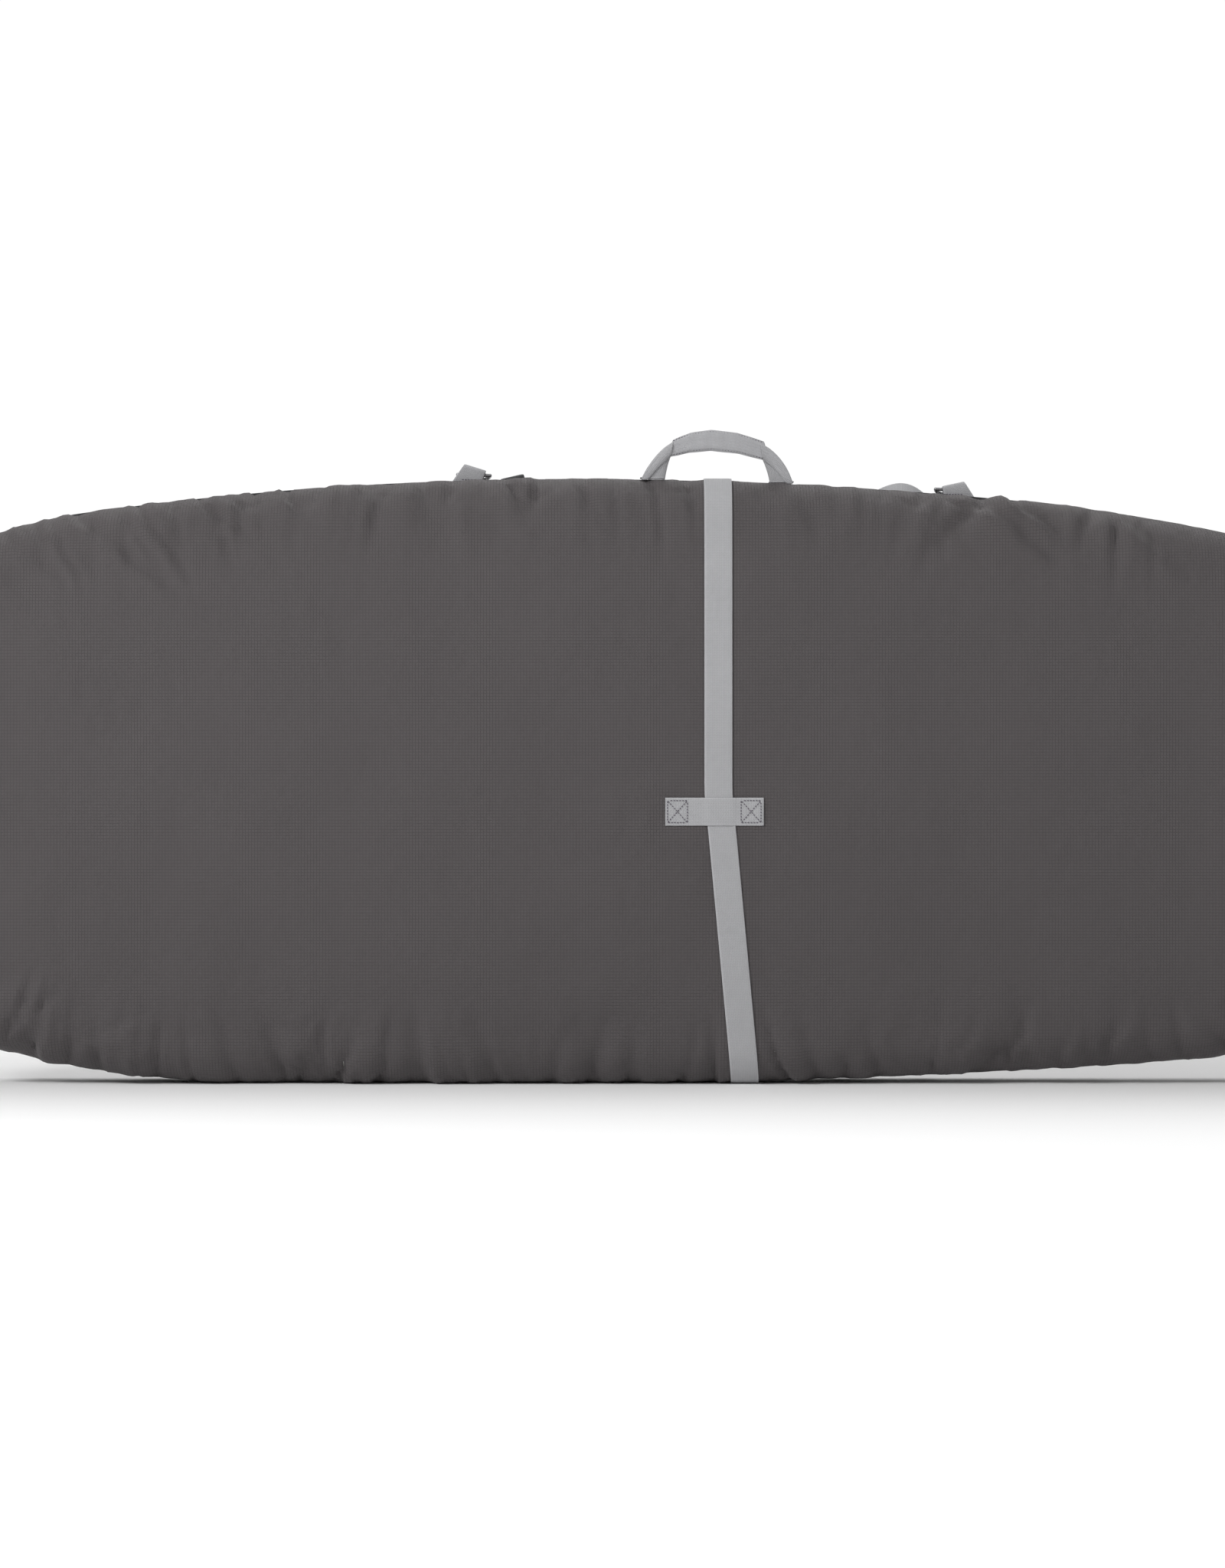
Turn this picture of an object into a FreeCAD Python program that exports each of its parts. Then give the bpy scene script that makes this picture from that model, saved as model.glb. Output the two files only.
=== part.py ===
# Padded board bag, standing on its long edge with the carry handle on top.
# Millimetres. +X runs to the nose, -Y is the front face, +Z is up. The origin lies on the floor
# under the carry handle, in the plane of the zip. The front half is a padded tray. The back half
# mirrors it and lifts on the crest of the bag as a lid. The zip runs round the two ends and the
# floor side.
import FreeCAD, Part
import Sketcher
import math
import os
from FreeCAD import Placement, Rotation, Vector

SIZES = (
    ("bag_height", 830.5, "floor to crest"),
    ("bag_thickness", 150.0, "front face to back face"),
    ("nose_length", 1480.0, "crest to nose tip, along X"),
    ("tail_length", 1080.0, "crest to tail tip, along X"),
    ("crest_place", -200.0, "X of the crest"),
    ("tip_height", 400.0, "floor to both tips"),
    ("rest_tail_end", -620.0, "X where the flat foot of the bag starts"),
    ("rest_nose_end", -180.0, "X where the flat foot of the bag ends"),
    ("top_nose_radius", 6400.0, "long arc, crest towards the nose"),
    ("top_nose_sweep", 5.5, "its sweep in degrees"),
    ("top_tail_radius", 4800.0, "long arc, crest towards the tail"),
    ("top_tail_sweep", 8.0, "its sweep in degrees"),
    ("foot_nose_radius", 11000.0, "long arc, foot towards the nose"),
    ("foot_nose_sweep", 4.2, "its sweep in degrees"),
    ("foot_tail_radius", 1500.0, "long arc, foot towards the tail"),
    ("foot_tail_sweep", 11.5, "its sweep in degrees"),
    ("nose_tip_radius", 240.0, "round of the nose tip"),
    ("tail_tip_radius", 280.0, "round of the tail tip"),
    ("rail_radius", 40.0, "round between a face and the rail"),
    ("skin_thickness", 1.0, "outer fabric"),
    ("foam_thickness", 6.0, "padding"),
    ("lining_thickness", 0.6, "inner fabric"),
    ("hinge_gap", 0.3, "each half stops this far from the zip plane"),
    ("padding_setback", 20.0, "foam and lining stop this far from the zip plane"),
    ("binding_thickness", 0.8, "tape over the raw edge of the padding"),
    ("zip_slot", 9.0, "half the width of the slot in the skin"),
    ("coil_depth", 0.3, "coil below the outside of the skin"),
    ("coil_thickness", 2.8, "coil, outside to inside"),
    ("coil_width", 4.2, "one half of the coil"),
    ("tape_width", 12.5, "zip tape beyond the coil"),
    ("tape_thickness", 0.7, "zip tape"),
    ("stop_length", 6.0, "zip end stop, along the zip"),
    ("slider_length", 22.0, "zip slider, along the zip"),
    ("slider_width", 17.0, "zip slider"),
    ("slider_plate", 1.7, "plate of the slider"),
    ("slider_clearance", 0.4, "slider to coil and tape"),
    ("slider_post", 0.4, "wedge between the coil halves"),
    ("slider_place", 9.0, "degrees from the nose tip to each slider"),
    ("bridge_radius", 4.4, "loop on the slider for the pull tab"),
    ("bridge_wire", 1.0, "radius of that loop's wire"),
    ("tab_length", 34.0, "pull tab"),
    ("tab_width", 11.0, "pull tab"),
    ("tab_thickness", 2.0, "pull tab"),
    ("tab_pivot_lift", 1.6, "slider plate to the bar of the tab"),
    ("webbing_width", 38.0, "all the webbing"),
    ("webbing_thickness", 1.5, "centre strap, keeper and anchors"),
    ("webbing_clearance", 0.3, "webbing to the skin under it"),
    ("strap_top_place", 4.0, "X of the centre strap on the crest"),
    ("strap_foot_place", 42.0, "X of the centre strap at the foot"),
    ("strap_bend_height", 400.0, "where the front run starts to slant"),
    ("strap_seam_gap", 3.0, "strap ends to the zip plane, at crest and foot"),
    ("keeper_length", 134.0, "keeper over the strap, along X"),
    ("keeper_place", -0.7, "X of the middle of the keeper"),
    ("keeper_height", 372.7, "floor to the middle of the keeper"),
    ("keeper_step", 9.0, "slope of the keeper beside the strap"),
    ("buckle_height", 170.0, "floor to the mouth of the buckle"),
    ("buckle_width", 54.0, "side-release buckle"),
    ("buckle_thickness", 11.0, "side-release buckle"),
    ("socket_length", 40.0, "socket half of the buckle"),
    ("socket_tuck", 12.0, "webbing inside the socket half"),
    ("plug_length", 26.0, "body of the plug half"),
    ("plug_tuck", 13.0, "webbing inside the plug half"),
    ("prong_length", 30.0, "prongs of the plug half"),
    ("prong_width", 9.0, "side prongs"),
    ("prong_thickness", 4.0, "prongs"),
    ("catch_length", 15.0, "side windows of the socket, along the prongs"),
    ("catch_place", 18.0, "mouth to the middle of the side windows"),
    ("buckle_wall", 2.4, "walls of the buckle"),
    ("buckle_clearance", 0.4, "prongs to the socket, webbing to its slots"),
    ("grip_radius", 160.0, "centre line of the handle's grip"),
    ("grip_length", 126.0, "grip sleeve, along its arc"),
    ("grip_width", 29.0, "grip sleeve"),
    ("grip_thickness", 9.0, "grip sleeve"),
    ("grip_top", 69.5, "crest to the top of the grip"),
    ("core_width", 21.0, "folded webbing inside the grip"),
    ("core_thickness", 3.2, "folded webbing"),
    ("core_clearance", 0.2, "folded webbing to the sleeve"),
    ("handle_foot_span", 211.0, "outer edge to outer edge of the feet"),
    ("handle_foot_width", 34.0, "webbing at the foot"),
    ("handle_depth", -30.0, "Y of the handle's fold"),
    ("anchor_length", 26.0, "webbing sewn down under each foot, along Y"),
    ("loop_place", 332.0, "X of each loop, either side"),
    ("loop_depth", 38.0, "Y of the loops"),
    ("loop_rise", 11.0, "crest to the ring's bar"),
    ("loop_foot", 14.0, "sewn end of the loops, along Y"),
    ("ring_wire", 2.5, "radius of the D-ring's wire"),
    ("ring_radius", 22.3, "D-ring's bow"),
    ("ring_fit", 0.08, "play of the bar in the loop"),
    ("eye_radius", 7.0, "hook's eye"),
    ("eye_wire", 2.0, "radius of the eye's wire"),
    ("hook_width", 30.0, "hook's webbing plate"),
    ("hook_thickness", 4.0, "hook's webbing plate"),
    ("shoulder_gap", 3.4, "shoulder strap to the back"),
    ("shoulder_thickness", 2.0, "shoulder strap webbing"),
    ("shoulder_edge", 75.0, "Y where the shoulder webbing starts"),
    ("ring_hang", 15.0, "degrees that the D-rings point down"),
    ("bow_radius", 230.0, "bow of the shoulder strap"),
    ("bow_height", 560.0, "floor to the centre of the bow"),
    ("pad_sweep", 70.0, "degrees of the bow that the pad covers"),
    ("pad_width", 62.0, "shoulder pad"),
    ("pad_thickness", 9.0, "shoulder pad"),
    ("pad_wall", 0.8, "shoulder pad under the webbing"),
    ("adjuster_width", 50.0, "length adjuster, across the webbing"),
    ("adjuster_length", 34.0, "length adjuster, along the webbing"),
    ("adjuster_thickness", 6.0, "length adjuster"),
    ("adjuster_window", 8.5, "windows of the length adjuster, along the webbing"),
    ("strap_clearance", 0.3, "webbing to pad and adjuster"),
)

os.makedirs("parts", exist_ok=True)
doc = FreeCAD.newDocument("board_bag")
sheet = doc.addObject("Spreadsheet::Sheet", "sizes")
for row, (alias, value, note) in enumerate(SIZES, 1):
    sheet.set(f"A{row}", note)
    sheet.set(f"B{row}", str(value))
    sheet.setAlias(f"B{row}", alias)
doc.recompute()

OVER = 20.0     # how far a cutting solid runs past what it cuts
NODES = []      # every finished sub-part


def size(alias):
    """A driving dimension from the sheet."""
    return float(sheet.get(alias))


def keep(label, shape):
    """Adds a sub-part whose shape is worked out from the sheet."""
    feature = doc.addObject("Part::Feature", label)
    feature.Shape = shape
    feature.Placement = Placement()
    feature.Label = label
    NODES.append(feature)
    return feature


def mirrored(shape):
    """The same shape on the other side of the zip plane."""
    return shape.mirror(Vector(0, 0, 0), Vector(0, 1, 0))


# ---------------------------------------------------------------- outline of the bag
def quarter(place, level, side, up, length, depth, radius, sweep, tip_radius):
    """One quarter of the outline: a long arc, a shoulder arc and half of the tip.

    side is +1 towards the nose and -1 towards the tail; up is +1 on the crest and -1 at the
    foot. Each arc comes back as (centre x, centre z, radius, first angle, last angle), with the
    angles of its outward normal from the crest or foot towards the tip.
    """
    turn = math.radians(sweep)
    join_x = radius * math.sin(turn)
    join_z = radius * (1 - math.cos(turn))
    tip_x = length - tip_radius
    gap_x = join_x - tip_x
    gap_z = join_z - depth
    inward = gap_x * math.sin(turn) - gap_z * math.cos(turn)
    shoulder = (gap_x ** 2 + gap_z ** 2 - tip_radius ** 2) / (2 * (inward - tip_radius))
    centre_x = join_x - shoulder * math.sin(turn)
    centre_z = join_z + shoulder * math.cos(turn)
    tip_turn = math.degrees(math.atan2(tip_x - centre_x, centre_z - depth))
    zenith = 90.0 * up

    def world(across, down, arc_radius, start, end):
        return (place + side * across, level - up * down, arc_radius,
                zenith - side * up * start, zenith - side * up * end)

    return (world(0, radius, radius, 0, sweep),
            world(centre_x, centre_z, shoulder, sweep, tip_turn),
            world(tip_x, depth, tip_radius, tip_turn, 90.0))


crest = size("bag_height")
drop = crest - size("tip_height")
nose_x = size("crest_place") + size("nose_length")
tail_x = size("crest_place") - size("tail_length")
top_nose = quarter(size("crest_place"), crest, 1, 1, size("nose_length"), drop,
                   size("top_nose_radius"), size("top_nose_sweep"), size("nose_tip_radius"))
top_tail = quarter(size("crest_place"), crest, -1, 1, size("tail_length"), drop,
                   size("top_tail_radius"), size("top_tail_sweep"), size("tail_tip_radius"))
foot_nose = quarter(size("rest_nose_end"), 0, 1, -1, nose_x - size("rest_nose_end"),
                    size("tip_height"), size("foot_nose_radius"), size("foot_nose_sweep"),
                    size("nose_tip_radius"))
foot_tail = quarter(size("rest_tail_end"), 0, -1, -1, size("rest_tail_end") - tail_x,
                    size("tip_height"), size("foot_tail_radius"), size("foot_tail_sweep"),
                    size("tail_tip_radius"))


def backwards(arc):
    """The same arc from its other end."""
    return arc[:3] + (arc[4], arc[3])


FOOT_LINE = "foot line"
# From the tail's shoulder round the tail, the foot and the nose to the nose's shoulder.
ZIP_RUN = (top_tail[1], top_tail[2], backwards(foot_tail[2]), backwards(foot_tail[1]),
           backwards(foot_tail[0]), FOOT_LINE, foot_nose[0], foot_nose[1], foot_nose[2],
           backwards(top_nose[2]), backwards(top_nose[1]))
CREST_RUN = (backwards(top_nose[0]), top_tail[0])


def arc_point(arc, inset, angle):
    """The point of an arc, moved inwards by inset, where its outward normal has this angle."""
    reach = arc[2] - inset
    turn = math.radians(angle)
    return Vector(arc[0] + reach * math.cos(turn), 0, arc[1] + reach * math.sin(turn))


def run_edges(run, inset):
    """The edges of part of the outline, moved inwards by inset."""
    edges = []
    for piece in run:
        if piece == FOOT_LINE:
            start = Vector(size("rest_tail_end"), 0, inset)
            end = Vector(size("rest_nose_end"), 0, inset)
            edges.append(Part.LineSegment(start, end).toShape())
        else:
            start, middle, end = (arc_point(piece, inset, angle) for angle in
                                  (piece[3], (piece[3] + piece[4]) / 2, piece[4]))
            edges.append(Part.Arc(start, middle, end).toShape())
    return edges


def ends(edges):
    """First and last point of a run of edges."""
    wire = Part.Wire(edges)
    return wire.OrderedVertexes[0].Point, wire.OrderedVertexes[-1].Point


def band(run, outer, inner, front, back):
    """A strip that follows the outline between two insets, from y = front to y = back."""
    outside = run_edges(run, outer)
    inside = run_edges(run, inner)
    outside_start, outside_end = ends(outside)
    inside_start, inside_end = ends(inside)
    caps = [Part.LineSegment(outside_end, inside_end).toShape(),
            Part.LineSegment(inside_start, outside_start).toShape()]
    wire = Part.Wire(Part.__sortEdges__(outside + inside + caps))
    face = Part.Face(wire)
    face.translate(Vector(0, front, 0))
    return face.extrude(Vector(0, back - front, 0))


def half_block(inset, end):
    """The front half of the bag as one block, shrunk by inset, up to y = end."""
    front = inset - size("bag_thickness") / 2
    face = Part.Face(Part.Wire(run_edges(ZIP_RUN + CREST_RUN, inset)))
    face.translate(Vector(0, front, 0))
    block = face.extrude(Vector(0, end - front, 0))
    rim = [edge for edge in block.Edges
           if max(abs(vertex.Point.y - front) for vertex in edge.Vertexes) < 1e-6]
    return block.makeFillet(size("rail_radius") - inset, rim)


def half_layer(outer, inner, end):
    """One layer of the front half, between two insets, up to y = end."""
    return half_block(outer, end).cut(half_block(inner, end + OVER))


def prism(corners, front, back):
    """A prism along Y over corners given as (x, z)."""
    points = [Vector(x, front, z) for x, z in corners]
    return Part.Face(Part.makePolygon(points + points[:1])).extrude(Vector(0, back - front, 0))


def crest_height(place):
    """Height of the crest line at this X, for places on the long arcs."""
    arc = top_nose[0] if place > size("crest_place") else top_tail[0]
    return arc[1] + math.sqrt(arc[2] ** 2 - (place - arc[0]) ** 2)


# ---------------------------------------------------------------- padded halves and the zip
half_depth = size("bag_thickness") / 2
skin = size("skin_thickness")
foam_inset = skin + size("foam_thickness")
lining_inset = foam_inset + size("lining_thickness")
setback = size("padding_setback")
coil_edge = size("hinge_gap") + size("coil_width")
coil_floor = size("coil_depth") + size("coil_thickness")
tape_floor = skin + size("tape_thickness")


def trimmed(run, length):
    """A run of the outline, shortened by this length at both ends."""
    first, last = run[0], run[-1]
    start = first[3] + math.degrees(length / first[2])
    end = last[4] - math.degrees(length / last[2])
    return (first[:3] + (start, first[4]),) + tuple(run[1:-1]) + (last[:4] + (end,),)


COIL_RUN = trimmed(ZIP_RUN, size("stop_length"))


def shell_skin():
    """Outer fabric of the front half, open along the zip."""
    slot = band(ZIP_RUN, -OVER, skin + 1, -size("zip_slot"), OVER)
    return half_layer(0, skin, -size("hinge_gap")).cut(slot)


def edge_binding():
    """Tape that closes the raw edge of foam and lining."""
    run = ZIP_RUN + CREST_RUN
    outside = Part.Face(Part.Wire(run_edges(run, skin)))
    inside = Part.Face(Part.Wire(run_edges(run, lining_inset)))
    ring = outside.cut(inside)
    ring.translate(Vector(0, -setback, 0))
    return ring.extrude(Vector(0, size("binding_thickness"), 0))


def zip_stops():
    """The sewn end of the zip, over both coil halves, at each end of the run."""
    stops = []
    for whole, coil, end in ((ZIP_RUN[0], COIL_RUN[0], 3), (ZIP_RUN[-1], COIL_RUN[-1], 4)):
        arc = whole[:3] + tuple(sorted((whole[end], coil[end])))
        stops.append(band((arc,), size("coil_depth"), coil_floor, -coil_edge,
                          coil_edge - size("strap_clearance")))
    return Part.makeCompound(stops)


HALVES = (("skin", shell_skin()),
          ("foam", half_layer(skin, foam_inset, -setback)),
          ("lining", half_layer(foam_inset, lining_inset, -setback)),
          ("binding", edge_binding()),
          ("zip_tape", band(ZIP_RUN, skin, tape_floor, -coil_edge - size("tape_width"), -coil_edge)),
          ("zip_coil", band(COIL_RUN, size("coil_depth"), coil_floor, -coil_edge, -size("hinge_gap"))))
for layer_name, layer_shape in HALVES:
    keep("front_" + layer_name, layer_shape)
    keep("back_" + layer_name, mirrored(layer_shape))
keep("zip_stops", zip_stops())

# ---------------------------------------------------------------- webbing sewn on the bag
webbing_lift = size("webbing_clearance") + size("webbing_thickness")
half_webbing = size("webbing_width") / 2
strap_cover = half_layer(-webbing_lift, -size("webbing_clearance"), -size("strap_seam_gap"))
top_place = size("strap_top_place")
foot_place = size("strap_foot_place")
bend = size("strap_bend_height")
above = crest + OVER


def strap_outline(path):
    """Both edges of a strap whose middle passes through these (x, z) points, top to bottom."""
    left = [(x - half_webbing, z) for x, z in path]
    right = [(x + half_webbing, z) for x, z in reversed(path)]
    return left + right


def strap_middle(height):
    """X of the middle of the front run at this height."""
    share = max(0.0, 1 - height / bend)
    return top_place + (foot_place - top_place) * share


front_path = [(top_place, above), (top_place, bend), (foot_place, 0), (foot_place, -OVER)]
front_run = prism(strap_outline(front_path), -half_depth - OVER, 0)
keep("centre_strap_front", strap_cover.common(front_run))

back_cover = mirrored(strap_cover)
mouth = size("buckle_height")
lower_path = [(foot_place, mouth - size("socket_length") + size("socket_tuck")), (foot_place, -OVER)]
upper_path = [(top_place, above), (top_place, crest - size("rail_radius")), (foot_place, bend),
              (foot_place, mouth + size("plug_length") - size("plug_tuck"))]
for strap_name, path in (("upper", upper_path), ("lower", lower_path)):
    run = prism(strap_outline(path), 0, half_depth + OVER)
    keep("centre_strap_back_" + strap_name, back_cover.common(run))


def strap_keeper():
    """Band across the strap: sewn flat at both ends and raised where the strap passes."""
    low = size("keeper_height") - half_webbing
    high = size("keeper_height") + half_webbing
    middle = size("keeper_place")
    half = size("keeper_length") / 2
    sewn = -half_depth - size("webbing_clearance")
    raised = sewn - webbing_lift
    inner_left = strap_middle(high) - half_webbing - size("webbing_clearance")
    inner_right = strap_middle(low) + half_webbing + size("webbing_clearance")
    step = size("keeper_step")
    under = [(middle - half, sewn), (inner_left - step, sewn), (inner_left, raised),
             (inner_right, raised), (inner_right + step, sewn), (middle + half, sewn)]
    over = [(x, y - size("webbing_thickness")) for x, y in reversed(under)]
    points = [Vector(x, y, low) for x, y in under + over]
    face = Part.Face(Part.makePolygon(points + points[:1]))
    return face.extrude(Vector(0, 0, size("webbing_width")))


keep("strap_keeper", strap_keeper())

# ---------------------------------------------------------------- carry handle
foot_middle = (size("handle_foot_span") - size("handle_foot_width")) / 2
left_foot = top_place - foot_middle
right_foot = top_place + foot_middle
fold_radius = size("core_thickness") / 2
fold_lift = webbing_lift + 2 * size("webbing_clearance") + fold_radius
left_fold = crest_height(left_foot) + fold_lift
right_fold = crest_height(right_foot) + fold_lift
handle_tilt = math.degrees(math.atan2(left_fold - right_fold, right_foot - left_foot))
handle_place = Placement(Vector(top_place, size("handle_depth"), (left_fold + right_fold) / 2),
                         Rotation(Vector(0, 1, 0), handle_tilt))


def sector(centre_x, centre_z, outer, inner, start, end, front, back):
    """Part of a flat ring in the plane of the bag, between two angles in degrees."""
    edges = []
    corners = []
    for radius in (outer, inner):
        turns = [math.radians(angle) for angle in (start, (start + end) / 2, end)]
        points = [Vector(centre_x + radius * math.cos(turn), front, centre_z + radius * math.sin(turn))
                  for turn in turns]
        edges.append(Part.Arc(*points).toShape())
        corners.append((points[0], points[2]))
    for one, other in zip(*corners):
        edges.append(Part.LineSegment(one, other).toShape())
    face = Part.Face(Part.Wire(Part.__sortEdges__(edges)))
    return face.extrude(Vector(0, back - front, 0))


grip_half = math.degrees(size("grip_length") / 2 / size("grip_radius"))
grip_outer = size("grip_radius") + size("grip_width") / 2
grip_centre = size("grip_top") - fold_lift - grip_outer


def grip_sector(width, thickness):
    """A piece of the grip's arc, this wide and thick, over its whole length."""
    return sector(0, grip_centre, size("grip_radius") + width / 2, size("grip_radius") - width / 2,
                  90 - grip_half, 90 + grip_half, -thickness / 2, thickness / 2)


def handle_webbing():
    """The webbing of the handle: a fold on each foot, two legs and the core of the grip."""
    shape = grip_sector(size("core_width"), size("core_thickness"))
    end_turn = math.radians(90 - grip_half)
    for side in (-1, 1):
        near = (side * (foot_middle - size("handle_foot_width") / 2), 0)
        far = (side * (foot_middle + size("handle_foot_width") / 2), 0)
        reaches = [size("grip_radius") + way * size("core_width") / 2 for way in (1, -1)]
        tops = [(side * reach * math.cos(end_turn), grip_centre + reach * math.sin(end_turn))
                for reach in reaches]
        leg = prism([near, far] + tops, -fold_radius, fold_radius)
        start = min(near[0], far[0])
        fold = Part.makeCylinder(fold_radius, size("handle_foot_width"), Vector(start, 0, 0),
                                 Vector(1, 0, 0))
        shape = shape.fuse(leg).fuse(fold)
    return shape.removeSplitter()


def grip_sleeve():
    """Padded sleeve over the folded webbing."""
    play = 2 * size("core_clearance")
    core = grip_sector(size("core_width") + play, size("core_thickness") + play)
    return grip_sector(size("grip_width"), size("grip_thickness")).cut(core)


def handle_anchors():
    """The ends of the webbing, sewn flat on the crest under the folds."""
    start = size("handle_depth") - fold_radius
    anchors = []
    for foot in (left_foot, right_foot):
        low, high = foot - size("handle_foot_width") / 2, foot + size("handle_foot_width") / 2
        patch = prism([(low, bend), (high, bend), (high, above), (low, above)],
                      start, start + size("anchor_length"))
        anchors.append(strap_cover.common(patch))
    return Part.makeCompound(anchors)


for label, shape in (("handle_webbing", handle_webbing()), ("grip_sleeve", grip_sleeve())):
    keep(label, shape).Placement = handle_place
keep("handle_anchors", handle_anchors())

# ---------------------------------------------------------------- buckle, adjuster and pull tabs


def new_body(label):
    """A PartDesign body that is a sub-part of its own."""
    body = doc.addObject("PartDesign::Body", label)
    body.Label = label
    NODES.append(body)
    return body


def rectangle(body, name, role, width, depth, centre_x="0", centre_y="0", lift="0"):
    """A rectangle on one of the body's own planes, every size an expression of the sheet."""
    sketch = body.newObject("Sketcher::SketchObject", name)
    plane = next(item for item in body.Origin.OriginFeatures if item.Role == role)
    sketch.AttachmentSupport = [(plane, "")]
    sketch.MapMode = "FlatFace"
    sketch.setExpression("AttachmentOffset.Base.z", lift)
    corners = [Vector(-1, -1, 0), Vector(1, -1, 0), Vector(1, 1, 0), Vector(-1, 1, 0)]
    for index, corner in enumerate(corners):
        sketch.addGeometry(Part.LineSegment(corner, corners[(index + 1) % 4]), False)
    for index in range(4):
        sketch.addConstraint(Sketcher.Constraint("Coincident", index, 2, (index + 1) % 4, 1))
    for index in (0, 2):
        sketch.addConstraint(Sketcher.Constraint("Horizontal", index))
        sketch.addConstraint(Sketcher.Constraint("Vertical", index + 1))
    sides = (("DistanceX", 0, -1, f"{centre_x} - ({width}) / 2"),
             ("DistanceY", 0, -1, f"{centre_y} - ({depth}) / 2"),
             ("DistanceX", 2, 1, f"{centre_x} + ({width}) / 2"),
             ("DistanceY", 2, 1, f"{centre_y} + ({depth}) / 2"))
    for kind, line, start, expression in sides:
        number = sketch.addConstraint(Sketcher.Constraint(kind, -1, 1, line, 1, float(start)))
        sketch.setExpression(f"Constraints[{number}]", expression)
    return sketch


def extrude(body, kind, sketch, length, reverse=False, both=False):
    """A pad or a pocket of this sketch."""
    feature = body.newObject("PartDesign::" + kind, sketch.Name + "_" + kind.lower())
    feature.Profile = sketch
    feature.Type = "Length"
    feature.setExpression("Length", length)
    feature.Reversed = reverse
    feature.SideType = "Symmetric" if both else "One side"
    return feature


CAVITY = "(sizes.prong_thickness + 3 * sizes.buckle_clearance)"
TUNNEL = "(sizes.webbing_width + 2 * sizes.buckle_clearance)"
RECESS = "(sizes.webbing_thickness + sizes.buckle_clearance)"


def webbing_recess(body, name, lift, length, reverse):
    """The slot under a buckle half that its webbing lies in."""
    sketch = rectangle(body, name, "XY_Plane", TUNNEL, f"2 * {RECESS}", "0",
                       "-sizes.buckle_thickness / 2", lift)
    return extrude(body, "Pocket", sketch, length, reverse)


def buckle_socket():
    """Socket half: its mouth is at the body's origin and it runs down from there."""
    body = new_body("buckle_socket")
    block = rectangle(body, "block", "XY_Plane", "sizes.buckle_width", "sizes.buckle_thickness")
    extrude(body, "Pad", block, "sizes.socket_length", True)
    doc.recompute()
    mouth_sketch = rectangle(body, "cavity", "XY_Plane",
                             "sizes.buckle_width - 2 * sizes.buckle_wall", CAVITY)
    extrude(body, "Pocket", mouth_sketch, "sizes.prong_length + sizes.buckle_clearance")
    window = rectangle(body, "window", "YZ_Plane", CAVITY, "sizes.catch_length", "0",
                       "-sizes.catch_place")
    extrude(body, "Pocket", window, "sizes.buckle_width + 2 * sizes.buckle_wall", False, True)
    webbing_recess(body, "recess", "-sizes.socket_length",
                   "sizes.socket_tuck + sizes.buckle_clearance", True)
    return body


def buckle_plug():
    """Plug half: a body above the mouth with three prongs that reach down into the socket."""
    body = new_body("buckle_plug")
    block = rectangle(body, "block", "XY_Plane", "sizes.buckle_width", "sizes.buckle_thickness",
                      "0", "0", "sizes.buckle_clearance")
    extrude(body, "Pad", block, "sizes.plug_length - sizes.buckle_clearance")
    doc.recompute()
    outer = "(sizes.buckle_width - sizes.prong_width) / 2 - sizes.buckle_wall - sizes.buckle_clearance"
    for name, centre in (("left_prong", f"-({outer})"), ("guide", "0"), ("right_prong", outer)):
        prong = rectangle(body, name, "XY_Plane", "sizes.prong_width", "sizes.prong_thickness",
                          centre, "0", "2 * sizes.buckle_clearance")
        extrude(body, "Pad", prong, "sizes.prong_length + sizes.buckle_clearance", True)
        doc.recompute()
    webbing_recess(body, "recess", "0", "sizes.plug_length + sizes.buckle_wall", True)
    return body


buckle_depth = half_depth + size("buckle_clearance") + size("buckle_thickness") / 2
buckle_place = Placement(Vector(foot_place, buckle_depth, mouth), Rotation())
for half in (buckle_socket(), buckle_plug()):
    half.Placement = buckle_place


def length_adjuster():
    """Flat slide with a tunnel for the webbing along Z and two windows that show it."""
    body = new_body("length_adjuster")
    block = rectangle(body, "block", "XZ_Plane", "sizes.adjuster_width", "sizes.adjuster_length")
    extrude(body, "Pad", block, "sizes.adjuster_thickness", False, True)
    doc.recompute()
    tunnel = rectangle(body, "tunnel", "XY_Plane", "sizes.webbing_width + 2 * sizes.strap_clearance",
                       "sizes.shoulder_thickness + 2 * sizes.strap_clearance")
    extrude(body, "Pocket", tunnel, "2 * sizes.adjuster_length", False, True)
    for name, centre in (("upper_window", "sizes.adjuster_window"),
                         ("lower_window", "-sizes.adjuster_window")):
        window = rectangle(body, name, "XZ_Plane", "sizes.webbing_width", "sizes.adjuster_window",
                           "0", centre)
        extrude(body, "Pocket", window, "2 * sizes.adjuster_thickness", False, True)
    return body


def pull_tab(label):
    """Flat tab that hangs down from a bar along Y, with a window for the slider's bridge."""
    body = new_body(label)
    plate = rectangle(body, "plate", "XZ_Plane", "sizes.tab_thickness", "sizes.tab_length", "0",
                      "sizes.tab_thickness / 2 - sizes.tab_length / 2")
    extrude(body, "Pad", plate, "sizes.tab_width", False, True)
    doc.recompute()
    window = rectangle(body, "window", "XZ_Plane", "2 * sizes.tab_thickness",
                       "2 * sizes.bridge_radius", "0",
                       "-sizes.tab_thickness / 2 - sizes.bridge_radius")
    extrude(body, "Pocket", window, "sizes.tab_width / 2 + sizes.bridge_wire", False, True)
    return body


# ---------------------------------------------------------------- zip sliders
tip_x = nose_x - size("nose_tip_radius")
plate_inside = size("coil_depth") - size("slider_clearance")
plate_outside = plate_inside - size("slider_plate")
floor_outside = coil_floor + size("slider_clearance")


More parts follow.
